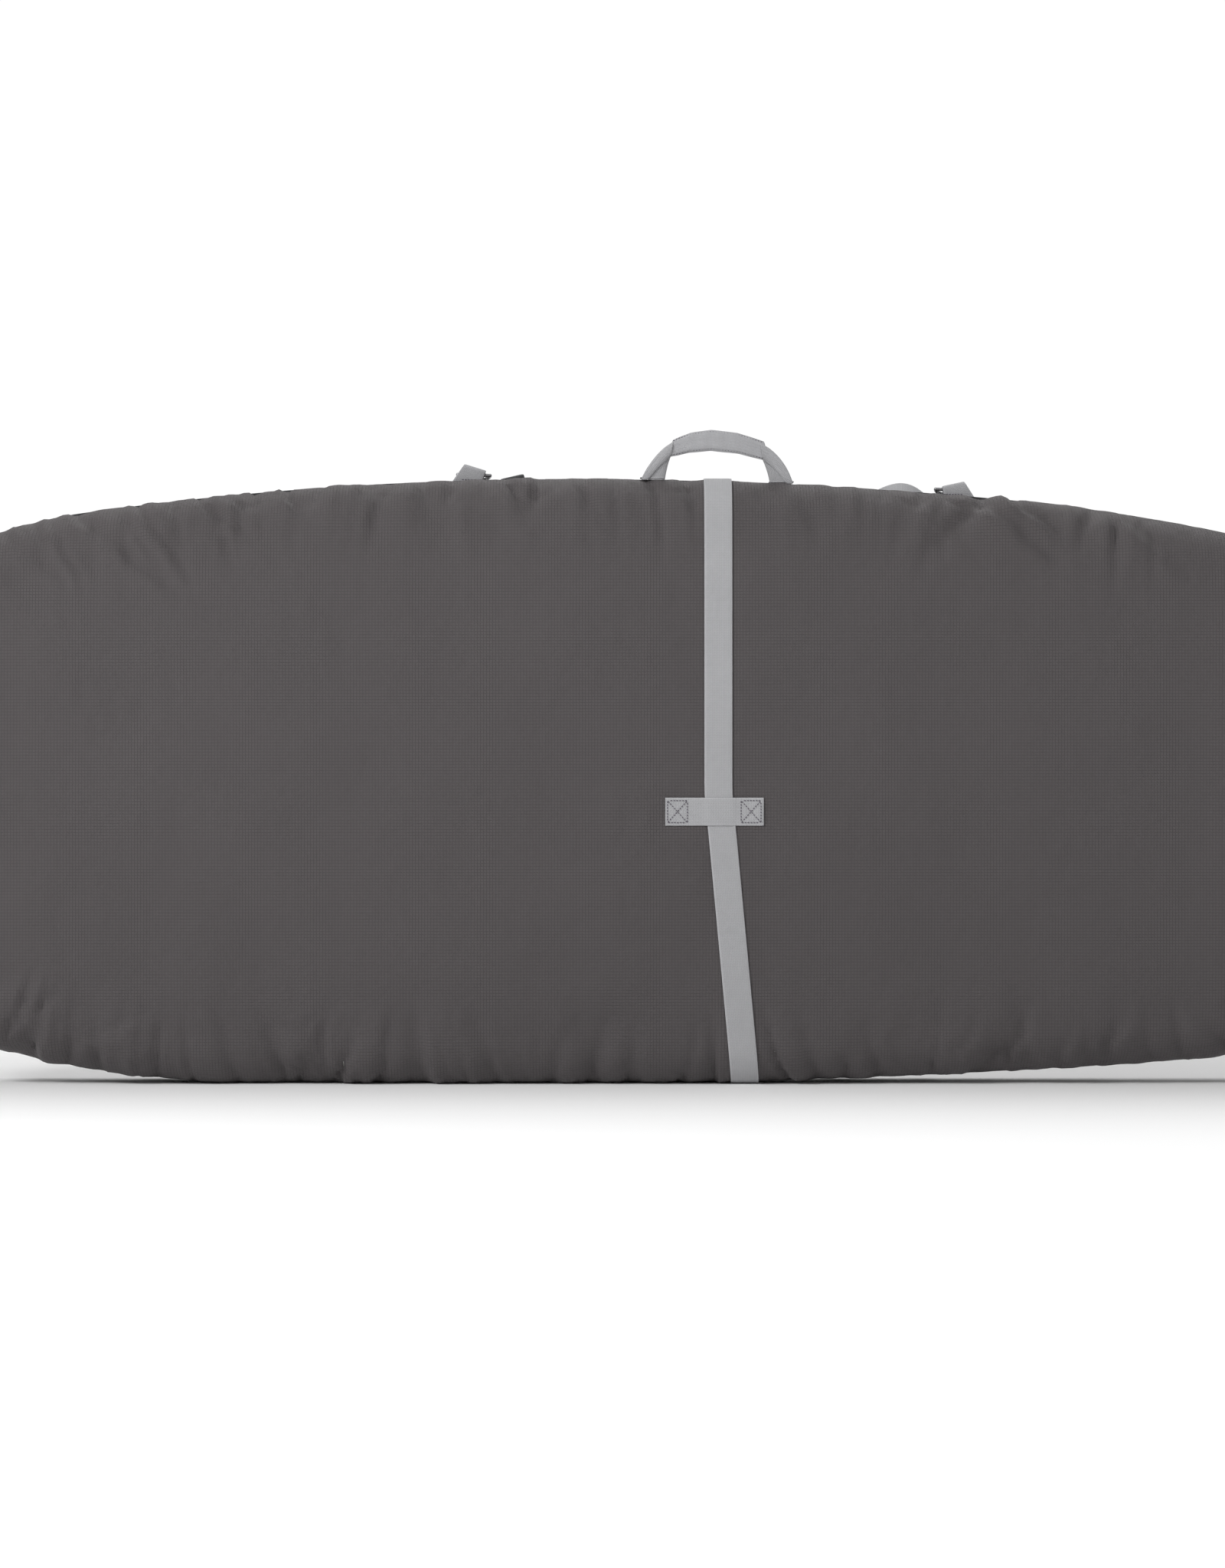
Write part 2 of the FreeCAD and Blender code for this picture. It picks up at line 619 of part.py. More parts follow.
def slider_strip(outer, inner, near, far, share=1.0):
    """A strip of the slider between two insets and two Y places, over a share of its length."""
    half = math.degrees(share * size("slider_length") / 2 / size("nose_tip_radius"))
    arc = (0, 0, size("nose_tip_radius"), -half, half)
    return band((arc,), outer, inner, near, far)


def zip_slider():
    """Two plates round the coil, flanges beside the tape, the wedge and the pull tab's bridge."""
    half = size("slider_width") / 2
    inner = coil_edge + size("slider_clearance")
    shape = slider_strip(plate_outside, plate_inside, -half, half)
    floor = slider_strip(floor_outside, floor_outside + size("slider_plate"), -half, half)
    post = size("slider_post") / 2
    wedge = slider_strip(plate_inside, floor_outside, -post, post, 1 / 3)
    shape = shape.fuse([floor, wedge])
    for near, far in ((-half, -inner), (inner, half)):
        upper = slider_strip(plate_inside, skin - size("slider_clearance"), near, far)
        lower = slider_strip(tape_floor + size("slider_clearance"), floor_outside, near, far)
        shape = shape.fuse([upper, lower])
    bridge = Part.makeTorus(size("bridge_radius"), size("bridge_wire"), Vector(0, 0, 0),
                            Vector(0, 1, 0))
    bridge.translate(Vector(size("nose_tip_radius") - plate_outside, 0, 0))
    inside = slider_strip(plate_inside, OVER, -half, half)
    return shape.fuse(bridge.cut(inside)).removeSplitter()


pivot_reach = size("nose_tip_radius") - plate_outside + size("tab_pivot_lift")
for label, turn, hang in (("upper", size("slider_place"), size("slider_place")),
                          ("lower", -size("slider_place"), 0)):
    slider = keep("zip_slider_" + label, zip_slider())
    slider.Placement = Placement(Vector(tip_x, 0, size("tip_height")), Rotation(Vector(0, 1, 0), -turn))
    tab = pull_tab("pull_tab_" + label)
    pivot = Vector(tip_x + pivot_reach * math.cos(math.radians(turn)), 0,
                   size("tip_height") + pivot_reach * math.sin(math.radians(turn)))
    tab.Placement = Placement(pivot, Rotation(Vector(0, 1, 0), -hang))

# ---------------------------------------------------------------- shoulder strap
left_bar = crest_height(-size("loop_place")) + size("loop_rise")
right_bar = crest_height(size("loop_place")) + size("loop_rise")
bar_tilt = math.degrees(math.atan2(left_bar - right_bar, 2 * size("loop_place")))
SIDES = (("left", -1, left_bar), ("right", 1, right_bar))


def bar_place(side, bar):
    """The frame of one D-ring: X along its bar, Y towards the back."""
    return Placement(Vector(side * size("loop_place"), size("loop_depth"), bar),
                     Rotation(Vector(0, 1, 0), bar_tilt))


ring_turn = Placement(Vector(), Rotation(Vector(1, 0, 0), -size("ring_hang")))


def strap_loop(side, bar):
    """Webbing folded round the bar of a D-ring and sewn flat on the crest behind it."""
    width = size("webbing_width")
    ply = size("webbing_thickness")
    hole = size("ring_wire") + size("ring_fit")
    tab = Part.makeBox(width, 2 * ply, size("loop_rise"), Vector(-width / 2, -ply, -size("loop_rise")))
    roll = Part.makeCylinder(hole + ply, width, Vector(-width / 2, 0, 0), Vector(1, 0, 0))
    bore = Part.makeCylinder(hole, width + OVER, Vector(-(width + OVER) / 2, 0, 0), Vector(1, 0, 0))
    loop = tab.fuse(roll).cut(bore)
    loop.Placement = bar_place(side, bar)
    low, high = side * size("loop_place") - width / 2, side * size("loop_place") + width / 2
    patch = prism([(low, bend), (high, bend), (high, above), (low, above)],
                  size("loop_depth") - ply, size("loop_depth") + size("loop_foot"))
    bag = mirrored(half_block(-size("webbing_clearance"), 0))
    return loop.fuse(back_cover.common(patch)).cut(bag).removeSplitter()


def d_ring(label):
    """A straight bar and a half-round bow of the same wire."""
    bow = doc.addObject("Part::Torus", label + "_bow")
    bow.setExpression("Radius1", "sizes.ring_radius")
    bow.setExpression("Radius2", "sizes.ring_wire")
    bow.Angle3 = 180
    bar = doc.addObject("Part::Cylinder", label + "_bar")
    bar.Placement = Placement(Vector(), Rotation(Vector(0, 1, 0), 90))
    bar.setExpression("Placement.Base.x", "-sizes.ring_radius")
    bar.setExpression("Radius", "sizes.ring_wire")
    bar.setExpression("Height", "2 * sizes.ring_radius")
    corners = []
    for sign in ("-", ""):
        corner = doc.addObject("Part::Sphere", label + "_corner")
        corner.setExpression("Radius", "sizes.ring_wire")
        corner.setExpression("Placement.Base.x", sign + "sizes.ring_radius")
        corners.append(corner)
    ring = doc.addObject("Part::MultiFuse", label)
    ring.Shapes = [bow, bar] + corners
    ring.Label = label
    NODES.append(ring)
    return ring


webbing_middle = size("shoulder_gap") + size("shoulder_thickness") / 2


def hook():
    """An eye round the bow of the D-ring and a plate that ends at the shoulder webbing."""
    hang = ring_turn.multVec(Vector(0, 1, 0))
    eye = Part.makeTorus(size("eye_radius"), size("eye_wire"), hang * size("ring_radius"),
                         Vector(1, 0, 0))
    rail = size("rail_radius")
    reach = size("shoulder_edge") - (half_depth - rail)
    fall = math.sqrt((rail + webbing_middle) ** 2 - reach ** 2) - rail - size("loop_rise")
    start = hang * (size("ring_radius") + size("eye_radius") - size("eye_wire"))
    end = Vector(0, size("shoulder_edge") - size("loop_depth"), fall)
    along = (end - start).normalize()
    across = Vector(0, -along.z, along.y) * (size("hook_thickness") / 2)
    shift = Vector(-size("hook_width") / 2, 0, 0)
    points = [corner + shift for corner in (start - across, end - across, end + across, start + across)]
    plate = Part.Face(Part.makePolygon(points + points[:1])).extrude(Vector(size("hook_width"), 0, 0))
    webbing_side = Part.makeBox(2 * OVER, OVER, 2 * OVER, Vector(-OVER, end.y, end.z - OVER))
    return eye.fuse(plate).cut(webbing_side)


def leg_ends(side, bar):
    """Where a leg of the shoulder strap leaves its hook and where it meets the bow."""
    top = Vector(side * size("loop_place"), 0, bar)
    spread = math.hypot(top.x, top.z - size("bow_height"))
    turn = math.atan2(top.z - size("bow_height"), top.x)
    turn -= side * math.acos(size("bow_radius") / spread)
    foot = Vector(size("bow_radius") * math.cos(turn), 0,
                  size("bow_height") + size("bow_radius") * math.sin(turn))
    return top, foot, math.degrees(turn)


def shoulder_webbing():
    """Two legs and a bow of webbing that follow the back of the bag at a small distance."""
    near, far = size("shoulder_edge"), half_depth + OVER
    turns = []
    legs = []
    for _, side, bar in SIDES:
        top, foot, turn = leg_ends(side, bar)
        turns.append(turn)
        along = (top - foot).normalize()
        across = Vector(-along.z, 0, along.x) * half_webbing
        top = top + along * OVER
        corners = (foot - across, foot + across, top + across, top - across)
        legs.append(prism([(corner.x, corner.z) for corner in corners], near, far))
    bow = sector(0, size("bow_height"), size("bow_radius") + half_webbing,
                 size("bow_radius") - half_webbing, turns[0], turns[1] + 360, near, far)
    cover = half_layer(-size("shoulder_gap") - size("shoulder_thickness"), -size("shoulder_gap"),
                       -size("hinge_gap"))
    return mirrored(cover).common(bow.fuse(legs)).removeSplitter()


def bow_sector(width, sweep, near, far):
    """A piece of the bow this wide, on both sides of its lowest point."""
    return sector(0, size("bow_height"), size("bow_radius") + width / 2,
                  size("bow_radius") - width / 2, 270 - sweep / 2, 270 + sweep / 2, near, far)


def shoulder_pad():
    """Padded sleeve round the webbing at the bottom of the bow."""
    play = size("strap_clearance")
    channel_start = half_depth + size("shoulder_gap") - play
    channel_end = channel_start + size("shoulder_thickness") + 2 * play
    start = channel_start - size("pad_wall")
    pad = bow_sector(size("pad_width"), size("pad_sweep"), start, start + size("pad_thickness"))
    channel = bow_sector(size("webbing_width") + 2 * play, size("pad_sweep") + 2, channel_start,
                         channel_end)
    return pad.cut(channel)


for side_name, side, bar in SIDES:
    keep("strap_loop_" + side_name, strap_loop(side, bar))
    d_ring("d_ring_" + side_name).Placement = bar_place(side, bar) * ring_turn
    keep("hook_" + side_name, hook()).Placement = bar_place(side, bar)
keep("shoulder_webbing", shoulder_webbing())
keep("shoulder_pad", shoulder_pad())
left_top, left_end, _ = leg_ends(-1, left_bar)
leg_tilt = math.degrees(math.atan2(left_top.x - left_end.x, left_top.z - left_end.z))
adjuster_place = (left_top + left_end) * 0.5 + Vector(0, half_depth + webbing_middle, 0)
length_adjuster().Placement = Placement(adjuster_place, Rotation(Vector(0, 1, 0), leg_tilt))

# ---------------------------------------------------------------- checks and files
doc.recompute()
for item in doc.Objects:
    if "Invalid" in item.State or "Error" in item.State:
        raise RuntimeError(f"{item.Label} did not build: {item.State}")
for node in NODES:
    if node.Shape.isNull() or not node.Shape.isValid():
        raise RuntimeError(f"{node.Label} has no valid shape")
for node in NODES:
    node.Shape.exportStep(f"parts/{node.Label}.step")
print(f"{len(NODES)} sub-parts written")
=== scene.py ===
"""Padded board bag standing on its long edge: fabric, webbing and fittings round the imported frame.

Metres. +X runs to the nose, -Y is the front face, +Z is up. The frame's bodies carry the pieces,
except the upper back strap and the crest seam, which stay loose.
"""

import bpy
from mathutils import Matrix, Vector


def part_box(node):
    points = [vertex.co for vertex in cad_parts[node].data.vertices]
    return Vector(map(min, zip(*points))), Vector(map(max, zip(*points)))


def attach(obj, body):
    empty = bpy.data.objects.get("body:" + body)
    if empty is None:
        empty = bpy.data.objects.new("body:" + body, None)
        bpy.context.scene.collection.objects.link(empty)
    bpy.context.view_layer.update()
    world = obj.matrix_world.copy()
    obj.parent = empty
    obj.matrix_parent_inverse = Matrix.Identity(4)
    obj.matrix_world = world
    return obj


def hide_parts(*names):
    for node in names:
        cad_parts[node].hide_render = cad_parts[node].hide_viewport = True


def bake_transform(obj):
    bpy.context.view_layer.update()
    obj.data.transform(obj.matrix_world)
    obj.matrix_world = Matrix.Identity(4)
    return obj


bl_info = {
    "name": "Board Bag Maker",
    "version": (1, 0, 0),
    "blender": (4, 5, 0),
    "location": "3D View > Sidebar > Board Bag",
    "description": "Builds the fabric, webbing and fittings of a padded board bag",
    "category": "Object",
}

import math

import bmesh
import bpy
import numpy as np
from mathutils import Vector, noise
from mathutils.bvhtree import BVHTree

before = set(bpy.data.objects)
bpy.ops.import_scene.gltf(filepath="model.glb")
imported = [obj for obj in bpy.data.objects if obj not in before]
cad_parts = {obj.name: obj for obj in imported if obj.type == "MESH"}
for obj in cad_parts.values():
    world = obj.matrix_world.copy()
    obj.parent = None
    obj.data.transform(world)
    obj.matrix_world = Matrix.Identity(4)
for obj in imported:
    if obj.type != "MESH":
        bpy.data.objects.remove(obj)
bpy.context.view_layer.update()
FRONT, BACK = -1, 1
FLAT_ROWS = 5            # rows of vertices on the flat of the rail
RAIL_POWER = 0.92        # how square the round of the rail is
FACE_SETBACK = 0.001     # edge of a face, inside the box of its half
FACE_MARGIN = 0.125      # how far the rows that follow the outline reach past the rail
FACE_SPAN = 0.44         # height between those rows, which sets how many middle rows there are
GIRTH_SPAN = 2.62        # length of the crest or foot line, which sets the columns
FLOOR_GAP = 0.0004       # floor to the lowest fabric
BOW_Z, BOW_RADIUS = 0.560, 0.230     # centre and radius of the hanging bow of the shoulder strap


# ---------------------------------------------------------------- sizes and colours
def metres(label, note, value):
    """A length that a user may change."""
    return bpy.props.FloatProperty(name=label, description=note, default=value, unit="LENGTH",
                                   precision=4)


def degrees(label, note, value):
    """An angle that a user may change."""
    return bpy.props.FloatProperty(name=label, description=note, default=math.radians(value),
                                   subtype="ANGLE")


def colour(label, note, value):
    """A colour that a user may change."""
    return bpy.props.FloatVectorProperty(name=label, description=note, default=value, size=3,
                                         min=0, max=1, subtype="COLOR")


def share(label, note, value):
    """A strength between none and full."""
    return bpy.props.FloatProperty(name=label, description=note, default=value, min=0, soft_max=1,
                                   subtype="FACTOR")


class BagOutline(bpy.types.PropertyGroup):
    """The side view of the bag: three arcs from the crest or the foot to each tip."""

    height: metres("Height", "Floor to crest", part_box("front_skin")[1].z)
    nose_x: metres("Nose", "X of the nose tip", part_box("front_skin")[1].x)
    tail_x: metres("Tail", "X of the tail tip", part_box("front_skin")[0].x)
    crest_x: metres("Crest place", "X of the crest", -0.2)
    tip_height: metres("Tip height", "Floor to both tips", 0.4)
    rest_tail_x: metres("Foot start", "X where the flat foot starts", -0.62)
    rest_nose_x: metres("Foot end", "X where the flat foot ends", -0.18)
    nose_round: metres("Nose round", "Radius of the nose tip", 0.24)
    tail_round: metres("Tail round", "Radius of the tail tip", 0.28)
    crest_nose_round: metres("Crest to nose", "Radius of the long arc", 6.4)
    crest_tail_round: metres("Crest to tail", "Radius of the long arc", 4.8)
    foot_nose_round: metres("Foot to nose", "Radius of the long arc", 11.0)
    foot_tail_round: metres("Foot to tail", "Radius of the long arc", 1.5)
    crest_nose_sweep: degrees("Crest to nose sweep", "Turn of the long arc", 5.5)
    crest_tail_sweep: degrees("Crest to tail sweep", "Turn of the long arc", 8.0)
    foot_nose_sweep: degrees("Foot to nose sweep", "Turn of the long arc", 4.2)
    foot_tail_sweep: degrees("Foot to tail sweep", "Turn of the long arc", 11.5)


class ShellSizes(bpy.types.PropertyGroup):
    """The padded halves."""

    half_depth: metres("Half depth", "Zip plane to a face", -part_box("front_skin")[0].y)
    rail_flat: metres("Rail flat", "Half the flat of the rail", 0.026)
    rail_round: metres("Rail round", "How far the round reaches into the face", 0.062)
    crown: metres("Crown", "How far the faces bulge", 0.0045)
    zip_slot: metres("Zip slot", "Half the width of the slot for the zip", 0.009)
    crest_slot: metres("Crest seam", "Half the gap of the crest seam", 0.0006)
    gather: metres("Gathers", "Height of the gathers beside the rail", 0.0125)
    billow: metres("Billow", "Height of the broad waves of the faces", 0.0050)
    crumple: metres("Crumple", "Height of the fine crumples", 0.0012)
    padding_inset: metres("Padding", "Skin to the inside of the padding", 0.0068)
    padding_setback: metres("Padding edge", "Zip plane to the edge of the padding", 0.02)
    grid: metres("Mesh size", "Size of the faces of the mesh", 0.0062)


class WebbingSizes(bpy.types.PropertyGroup):
    """Straps, keeper, handle, loops and shoulder strap."""

    width: metres("Width", "Webbing width", 0.038)
    thickness: metres("Thickness", "Webbing thickness", 0.0016)
    lift: metres("Lift", "Skin to the underside of the webbing", 0.0002)
    strap_top_x: metres("Strap top", "X of the centre strap at the crest", 0.0045)
    strap_foot_x: metres("Strap foot", "X of the centre strap at the foot", 0.042)
    strap_bend_z: metres("Strap bend", "Height where the strap starts to slant", 0.4)
    keeper_x: metres("Keeper place", "X of the keeper's middle",
                     (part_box("strap_keeper")[0].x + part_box("strap_keeper")[1].x) / 2)
    keeper_z: metres("Keeper height", "Floor to the keeper's middle",
                     (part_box("strap_keeper")[0].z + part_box("strap_keeper")[1].z) / 2)
    keeper_length: metres("Keeper length", "Length of the keeper",
                          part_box("strap_keeper")[1].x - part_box("strap_keeper")[0].x)
    stitch: metres("Stitch", "Length of one stitch", 0.0028)
    thread: metres("Thread", "Thickness of the thread", 0.0007)


class Finishes(bpy.types.PropertyGroup):
    """Colours of the finishes."""

    ripstop: colour("Ripstop", "Outer fabric", (0.0860, 0.0775, 0.0795))
    webbing: colour("Webbing", "Light grey webbing", (0.445, 0.445, 0.460))
    grip: colour("Grip", "Sleeve of the handle", (0.455, 0.455, 0.472))
    thread: colour("Thread", "Stitching", (0.12, 0.105, 0.135))
    dark_webbing: colour("Dark webbing", "Shoulder strap", (0.052, 0.052, 0.056))
    pad: colour("Pad", "Shoulder pad", (0.030, 0.030, 0.033))
    lining: colour("Lining", "Inner fabric", (0.20, 0.20, 0.21))
    foam: colour("Padding", "Foam between the fabrics", (0.42, 0.42, 0.40))
    binding: colour("Binding", "Tape over raw edges", (0.030, 0.030, 0.032))
    zip_tape: colour("Zip tape", "Tape of the zip", (0.028, 0.028, 0.030))
    coil: colour("Zip coil", "Coil of the zip", (0.022, 0.022, 0.024))
    plastic: colour("Plastic", "Buckle, slide and hooks", (0.018, 0.018, 0.019))
    metal: colour("Metal", "Rings", (0.34, 0.34, 0.35))
    slider: colour("Slider metal", "Zip sliders", (0.10, 0.10, 0.105))
    tab: colour("Pull tab", "Rubber tabs", (0.05, 0.05, 0.055))


class StudioSizes(bpy.types.PropertyGroup):
    """Floor, lights and camera."""

    distance: metres("Distance", "Camera to the zip plane", 5.2)
    centre_x: metres("Aim X", "X in the middle of the frame", -0.1394)
    centre_z: metres("Aim height", "Height in the middle of the frame", 0.4103)
    frame_height: metres("Frame height", "Height that the frame shows", 2.163)
    floor_size: metres("Floor", "Width of the floor", 60.0)
    sky: share("Sky", "Strength of the even light", 0.34)


GROUPS = (("bag_outline", BagOutline), ("bag_shell", ShellSizes), ("bag_webbing", WebbingSizes),
          ("bag_finishes", Finishes), ("bag_studio", StudioSizes))


def values(group):
    """The values of one group of sizes or colours."""
    return getattr(bpy.context.scene, group)


# ---------------------------------------------------------------- outline
def quarter(place, level, side, up, length, depth, radius, sweep, tip_radius):
    """Three arcs from the crest (up 1) or the foot (up -1) to the tip on one side."""
    join_x, join_z = radius * math.sin(sweep), radius * (1 - math.cos(sweep))
    gap_x, gap_z = join_x - (length - tip_radius), join_z - depth
    inward = gap_x * math.sin(sweep) - gap_z * math.cos(sweep)
    shoulder = (gap_x ** 2 + gap_z ** 2 - tip_radius ** 2) / (2 * (inward - tip_radius))
    centre_x = join_x - shoulder * math.sin(sweep)
    centre_z = join_z + shoulder * math.cos(sweep)
    tip_turn = math.atan2(length - tip_radius - centre_x, centre_z - depth)
    arcs = ((0, radius, radius, 0, sweep), (centre_x, centre_z, shoulder, sweep, tip_turn),
            (length - tip_radius, depth, tip_radius, tip_turn, math.pi / 2))
    return [(place + side * x, level - up * z, r, up * math.pi / 2 - side * up * first,
             up * math.pi / 2 - side * up * last) for x, z, r, first, last in arcs]


def turned(arcs):
    """Arcs in the other order, each from its other end."""
    return [(x, z, r, last, first) for x, z, r, first, last in reversed(arcs)]


def outline_runs():
    """The crest side and the foot side of the outline, both from the tail tip to the nose tip."""
    o = values("bag_outline")
    nose, tail = o.nose_x - o.crest_x, o.crest_x - o.tail_x
    drop = o.height - o.tip_height
    crest_nose = quarter(o.crest_x, o.height, 1, 1, nose, drop, o.crest_nose_round,
                         o.crest_nose_sweep, o.nose_round)
    crest_tail = quarter(o.crest_x, o.height, -1, 1, tail, drop, o.crest_tail_round,
                         o.crest_tail_sweep, o.tail_round)
    foot_nose = quarter(o.rest_nose_x, 0, 1, -1, o.nose_x - o.rest_nose_x, o.tip_height,
                        o.foot_nose_round, o.foot_nose_sweep, o.nose_round)
    foot_tail = quarter(o.rest_tail_x, 0, -1, -1, o.rest_tail_x - o.tail_x, o.tip_height,
                        o.foot_tail_round, o.foot_tail_sweep, o.tail_round)

    foot_line = (o.rest_tail_x, o.rest_nose_x)
    return turned(crest_tail) + crest_nose, turned(foot_tail) + [foot_line] + foot_nose


def piece_lengths(run):
    """Length of each line and arc of a run."""
    return [p[1] - p[0] if len(p) == 2 else p[2] * abs(p[4] - p[3]) for p in run]


def sample(run, count):
    """Evenly spread points of a run as rows of x, z, outward x, outward z and distance."""
    lengths = piece_lengths(run)
    ends = np.cumsum([0] + lengths)
    rows = []
    for distance in np.linspace(0, ends[-1], count):
        index = min(max(int(np.searchsorted(ends, distance)) - 1, 0), len(run) - 1)
        piece, part = run[index], (distance - ends[index]) / lengths[index]
        if len(piece) == 2:
            rows.append((piece[0] + part * lengths[index], 0, 0, -1, distance))
        else:
            turn = piece[3] + (piece[4] - piece[3]) * part
            out_x, out_z = math.cos(turn), math.sin(turn)
            rows.append((piece[0] + piece[2] * out_x, piece[1] + piece[2] * out_z, out_x, out_z,
                         distance))
    return np.array(rows)


def run_height(run, x):
    """Height of a run at this X."""
    rows = sample(run, 900)
    return float(np.interp(x, rows[:, 0], rows[:, 1]))


def crest_z(x):
    """Height of the crest line at this X."""
    return run_height(outline_runs()[0], x)


def foot_z(x):
    """Height of the foot line at this X."""
    return run_height(outline_runs()[1], x)


def rail_profile(edge, lay_in=0.0):
    """Rows from the zip plane over the rail to the face: inset, depth and run along the cloth."""
    s = values("bag_shell")
    steps = np.linspace(0, math.pi / 2, 11)
    flat = np.linspace(edge, s.rail_flat, FLAT_ROWS + 1)[:-1]
    rise = s.half_depth - s.rail_flat - FACE_SETBACK
    inset = np.concatenate([np.zeros(FLAT_ROWS), s.rail_round * (1 - np.cos(steps) ** RAIL_POWER)])
    depth = np.concatenate([flat, s.rail_flat + rise * np.sin(steps) ** RAIL_POWER])
    slope = np.gradient(np.stack([inset, depth]), axis=1)
    slope /= np.linalg.norm(slope, axis=0) + 1e-9
    inset = inset + lay_in * slope[1]
    depth = depth - lay_in * slope[0]
    run = np.concatenate([[0], np.cumsum(np.hypot(np.diff(inset), np.diff(depth)))]) + edge
    return inset, depth, run


def face_depth(inset):
    """Depth of the smooth face this far inside the outline."""
    s = values("bag_shell")
    past = np.maximum(0, np.asarray(inset) - s.rail_round)
    return s.half_depth - FACE_SETBACK + s.crown * (1 - np.exp(-past / 0.07))


# ---------------------------------------------------------------- meshes
def new_object(name, verts, faces, material, uvs=None, smooth=True):
    """A mesh object with one material and, where given, a UV map from per-vertex places."""
    mesh = bpy.data.meshes.new(name)
    mesh.from_pydata([tuple(map(float, v)) for v in verts], [], faces)
    if uvs is not None:
        layer = mesh.uv_layers.new(name="cloth")
        corner = np.empty(len(mesh.loops), np.int32)
        mesh.loops.foreach_get("vertex_index", corner)
        layer.data.foreach_set("uv", np.asarray(uvs, np.float32)[corner].ravel())
    mesh.materials.append(material)
    if smooth:
        mesh.polygons.foreach_set("use_smooth", np.ones(len(mesh.polygons), bool))
    mesh.update()
    thing = bpy.data.objects.new(name, mesh)
    bpy.context.scene.collection.objects.link(thing)
    return thing


def placed(thing, body, slot, *nodes):
    """Rides a piece on its body and hides the nodes that it stands for. The slot is not used."""
    if nodes:
        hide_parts(*nodes)
    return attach(thing, body)


def ribbon(name, centres, across, width, thickness, material, up=None, rounds=11, crown=0.0):
    """Closed webbing strip along centre points, with its width along the across vectors."""
    centres, across = np.asarray(centres, float), np.asarray(across, float)
    across = across / np.linalg.norm(across, axis=1)[:, None]
    tangent = np.gradient(centres, axis=0)
    tangent /= np.linalg.norm(tangent, axis=1)[:, None] + 1e-12
    normal = np.cross(tangent, across)
    normal /= np.linalg.norm(normal, axis=1)[:, None] + 1e-12
    if up is not None:
        flip = np.sign(np.einsum("ij,ij->i", normal, np.asarray(up, float)))
        normal *= np.where(flip == 0, 1, flip)[:, None]
    width = np.broadcast_to(width, len(centres))
    u = np.sin(np.linspace(-math.pi / 2, math.pi / 2, rounds))
    edge = np.sqrt(np.clip(1 - np.abs(u) ** 14, 0.06, 1))
    top = [(a, thickness * (0.5 * e) + crown * (1 - a * a)) for a, e in zip(u, edge)]
    bottom = [(a, -thickness * 0.5 * e + crown * (1 - a * a)) for a, e in zip(u[::-1], edge[::-1])]
    ring = top + bottom
    run = np.concatenate([[0], np.cumsum(np.linalg.norm(np.diff(centres, axis=0), axis=1))])
    verts, uvs = [], []
    for i, centre in enumerate(centres):
        for a, h in ring:
            verts.append(centre + across[i] * a * width[i] / 2 + normal[i] * h)
            uvs.append((a * width[i] / 2, run[i]))
    return loft(name, verts, uvs, len(centres), len(ring), material)


def loft(name, verts, uvs, stations, around, material):
    """Joins equal rings of vertices and closes both ends."""
    faces = [tuple(range(around)),
             tuple(reversed(range((stations - 1) * around, stations * around)))]
    for i in range(stations - 1):
        for j in range(around):
            k = (j + 1) % around
            here, ahead = i * around, (i + 1) * around
            faces.append((here + j, ahead + j, ahead + k, here + k))
    thing = new_object(name, verts, faces, material, uvs)
    fix_normals(thing)
    return thing


def fix_normals(thing):
    """Turns every face outwards."""
    work = bmesh.new()
    work.from_mesh(thing.data)
    bmesh.ops.recalc_face_normals(work, faces=work.faces)
    work.to_mesh(thing.data)
    work.free()


def curve_through(points, count):
    """A smooth line through a few points, as evenly spread rows."""
    points = np.asarray(points, float)
    spread = np.concatenate([[0], np.cumsum(np.linalg.norm(np.diff(points, axis=0), axis=1))])
    ends = np.vstack([2 * points[0] - points[1], points, 2 * points[-1] - points[-2]])
    out = []
    for t in np.linspace(0, spread[-1], count):
        i = min(int(np.searchsorted(spread, t, side="right")) - 1, len(points) - 2)
        f = (t - spread[i]) / (spread[i + 1] - spread[i])
        a, b, c, d = ends[i:i + 4]
        out.append(0.5 * (2 * b + (c - a) * f + (2 * a - 5 * b + 4 * c - d) * f * f
                          + (3 * b - a - 3 * c + d) * f ** 3))
    return np.array(out)


def stitch_line(points, normals, length, gap, radius):
    """Vertices and faces of a row of short threads laid along a line."""
    points, normals = np.asarray(points, float), np.asarray(normals, float)
    run = np.concatenate([[0], np.cumsum(np.linalg.norm(np.diff(points, axis=0), axis=1))])
    verts, faces = [], []
    at = gap / 2
    while at + length < run[-1]:
        ends = [np.array([np.interp(t, run, points[:, k]) for k in range(3)])
                for t in (at, at + length / 2, at + length)]
        up = np.array([np.interp(at, run, normals[:, k]) for k in range(3)])
        line = ends[2] - ends[0]
        line /= np.linalg.norm(line) + 1e-12
        side = np.cross(line, up)
        base = len(verts)
        for end, swell, rise in zip(ends, (0.55, 1, 0.55), (-0.5, 0.75, -0.5)):
            for turn in np.linspace(0, 2 * math.pi, 6, endpoint=False):
                ray = side * math.cos(turn) + up * (math.sin(turn) + rise)
                verts.append(end + ray * radius * swell)
        for i in range(2):
            for j in range(6):
                k = (j + 1) % 6
                ring = base + 6 * i
                faces.append((ring + j, ring + k, ring + 6 + k, ring + 6 + j))
        faces.append(tuple(base + j for j in reversed(range(6))))
        faces.append(tuple(base + 12 + j for j in range(6)))
        at += length + gap
    return verts, faces


def stitches(name, lines, material):
    """One object from several rows of stitches, each a list of points with their normals."""
    w = values("bag_webbing")
    verts, faces = [], []
    for points, normals in lines:
        more, quads = stitch_line(points, normals, w.stitch, w.stitch * 0.42, w.thread)
        faces += [tuple(len(verts) + i for i in quad) for quad in quads]
        verts += more
    return new_object(name, verts, faces, material)


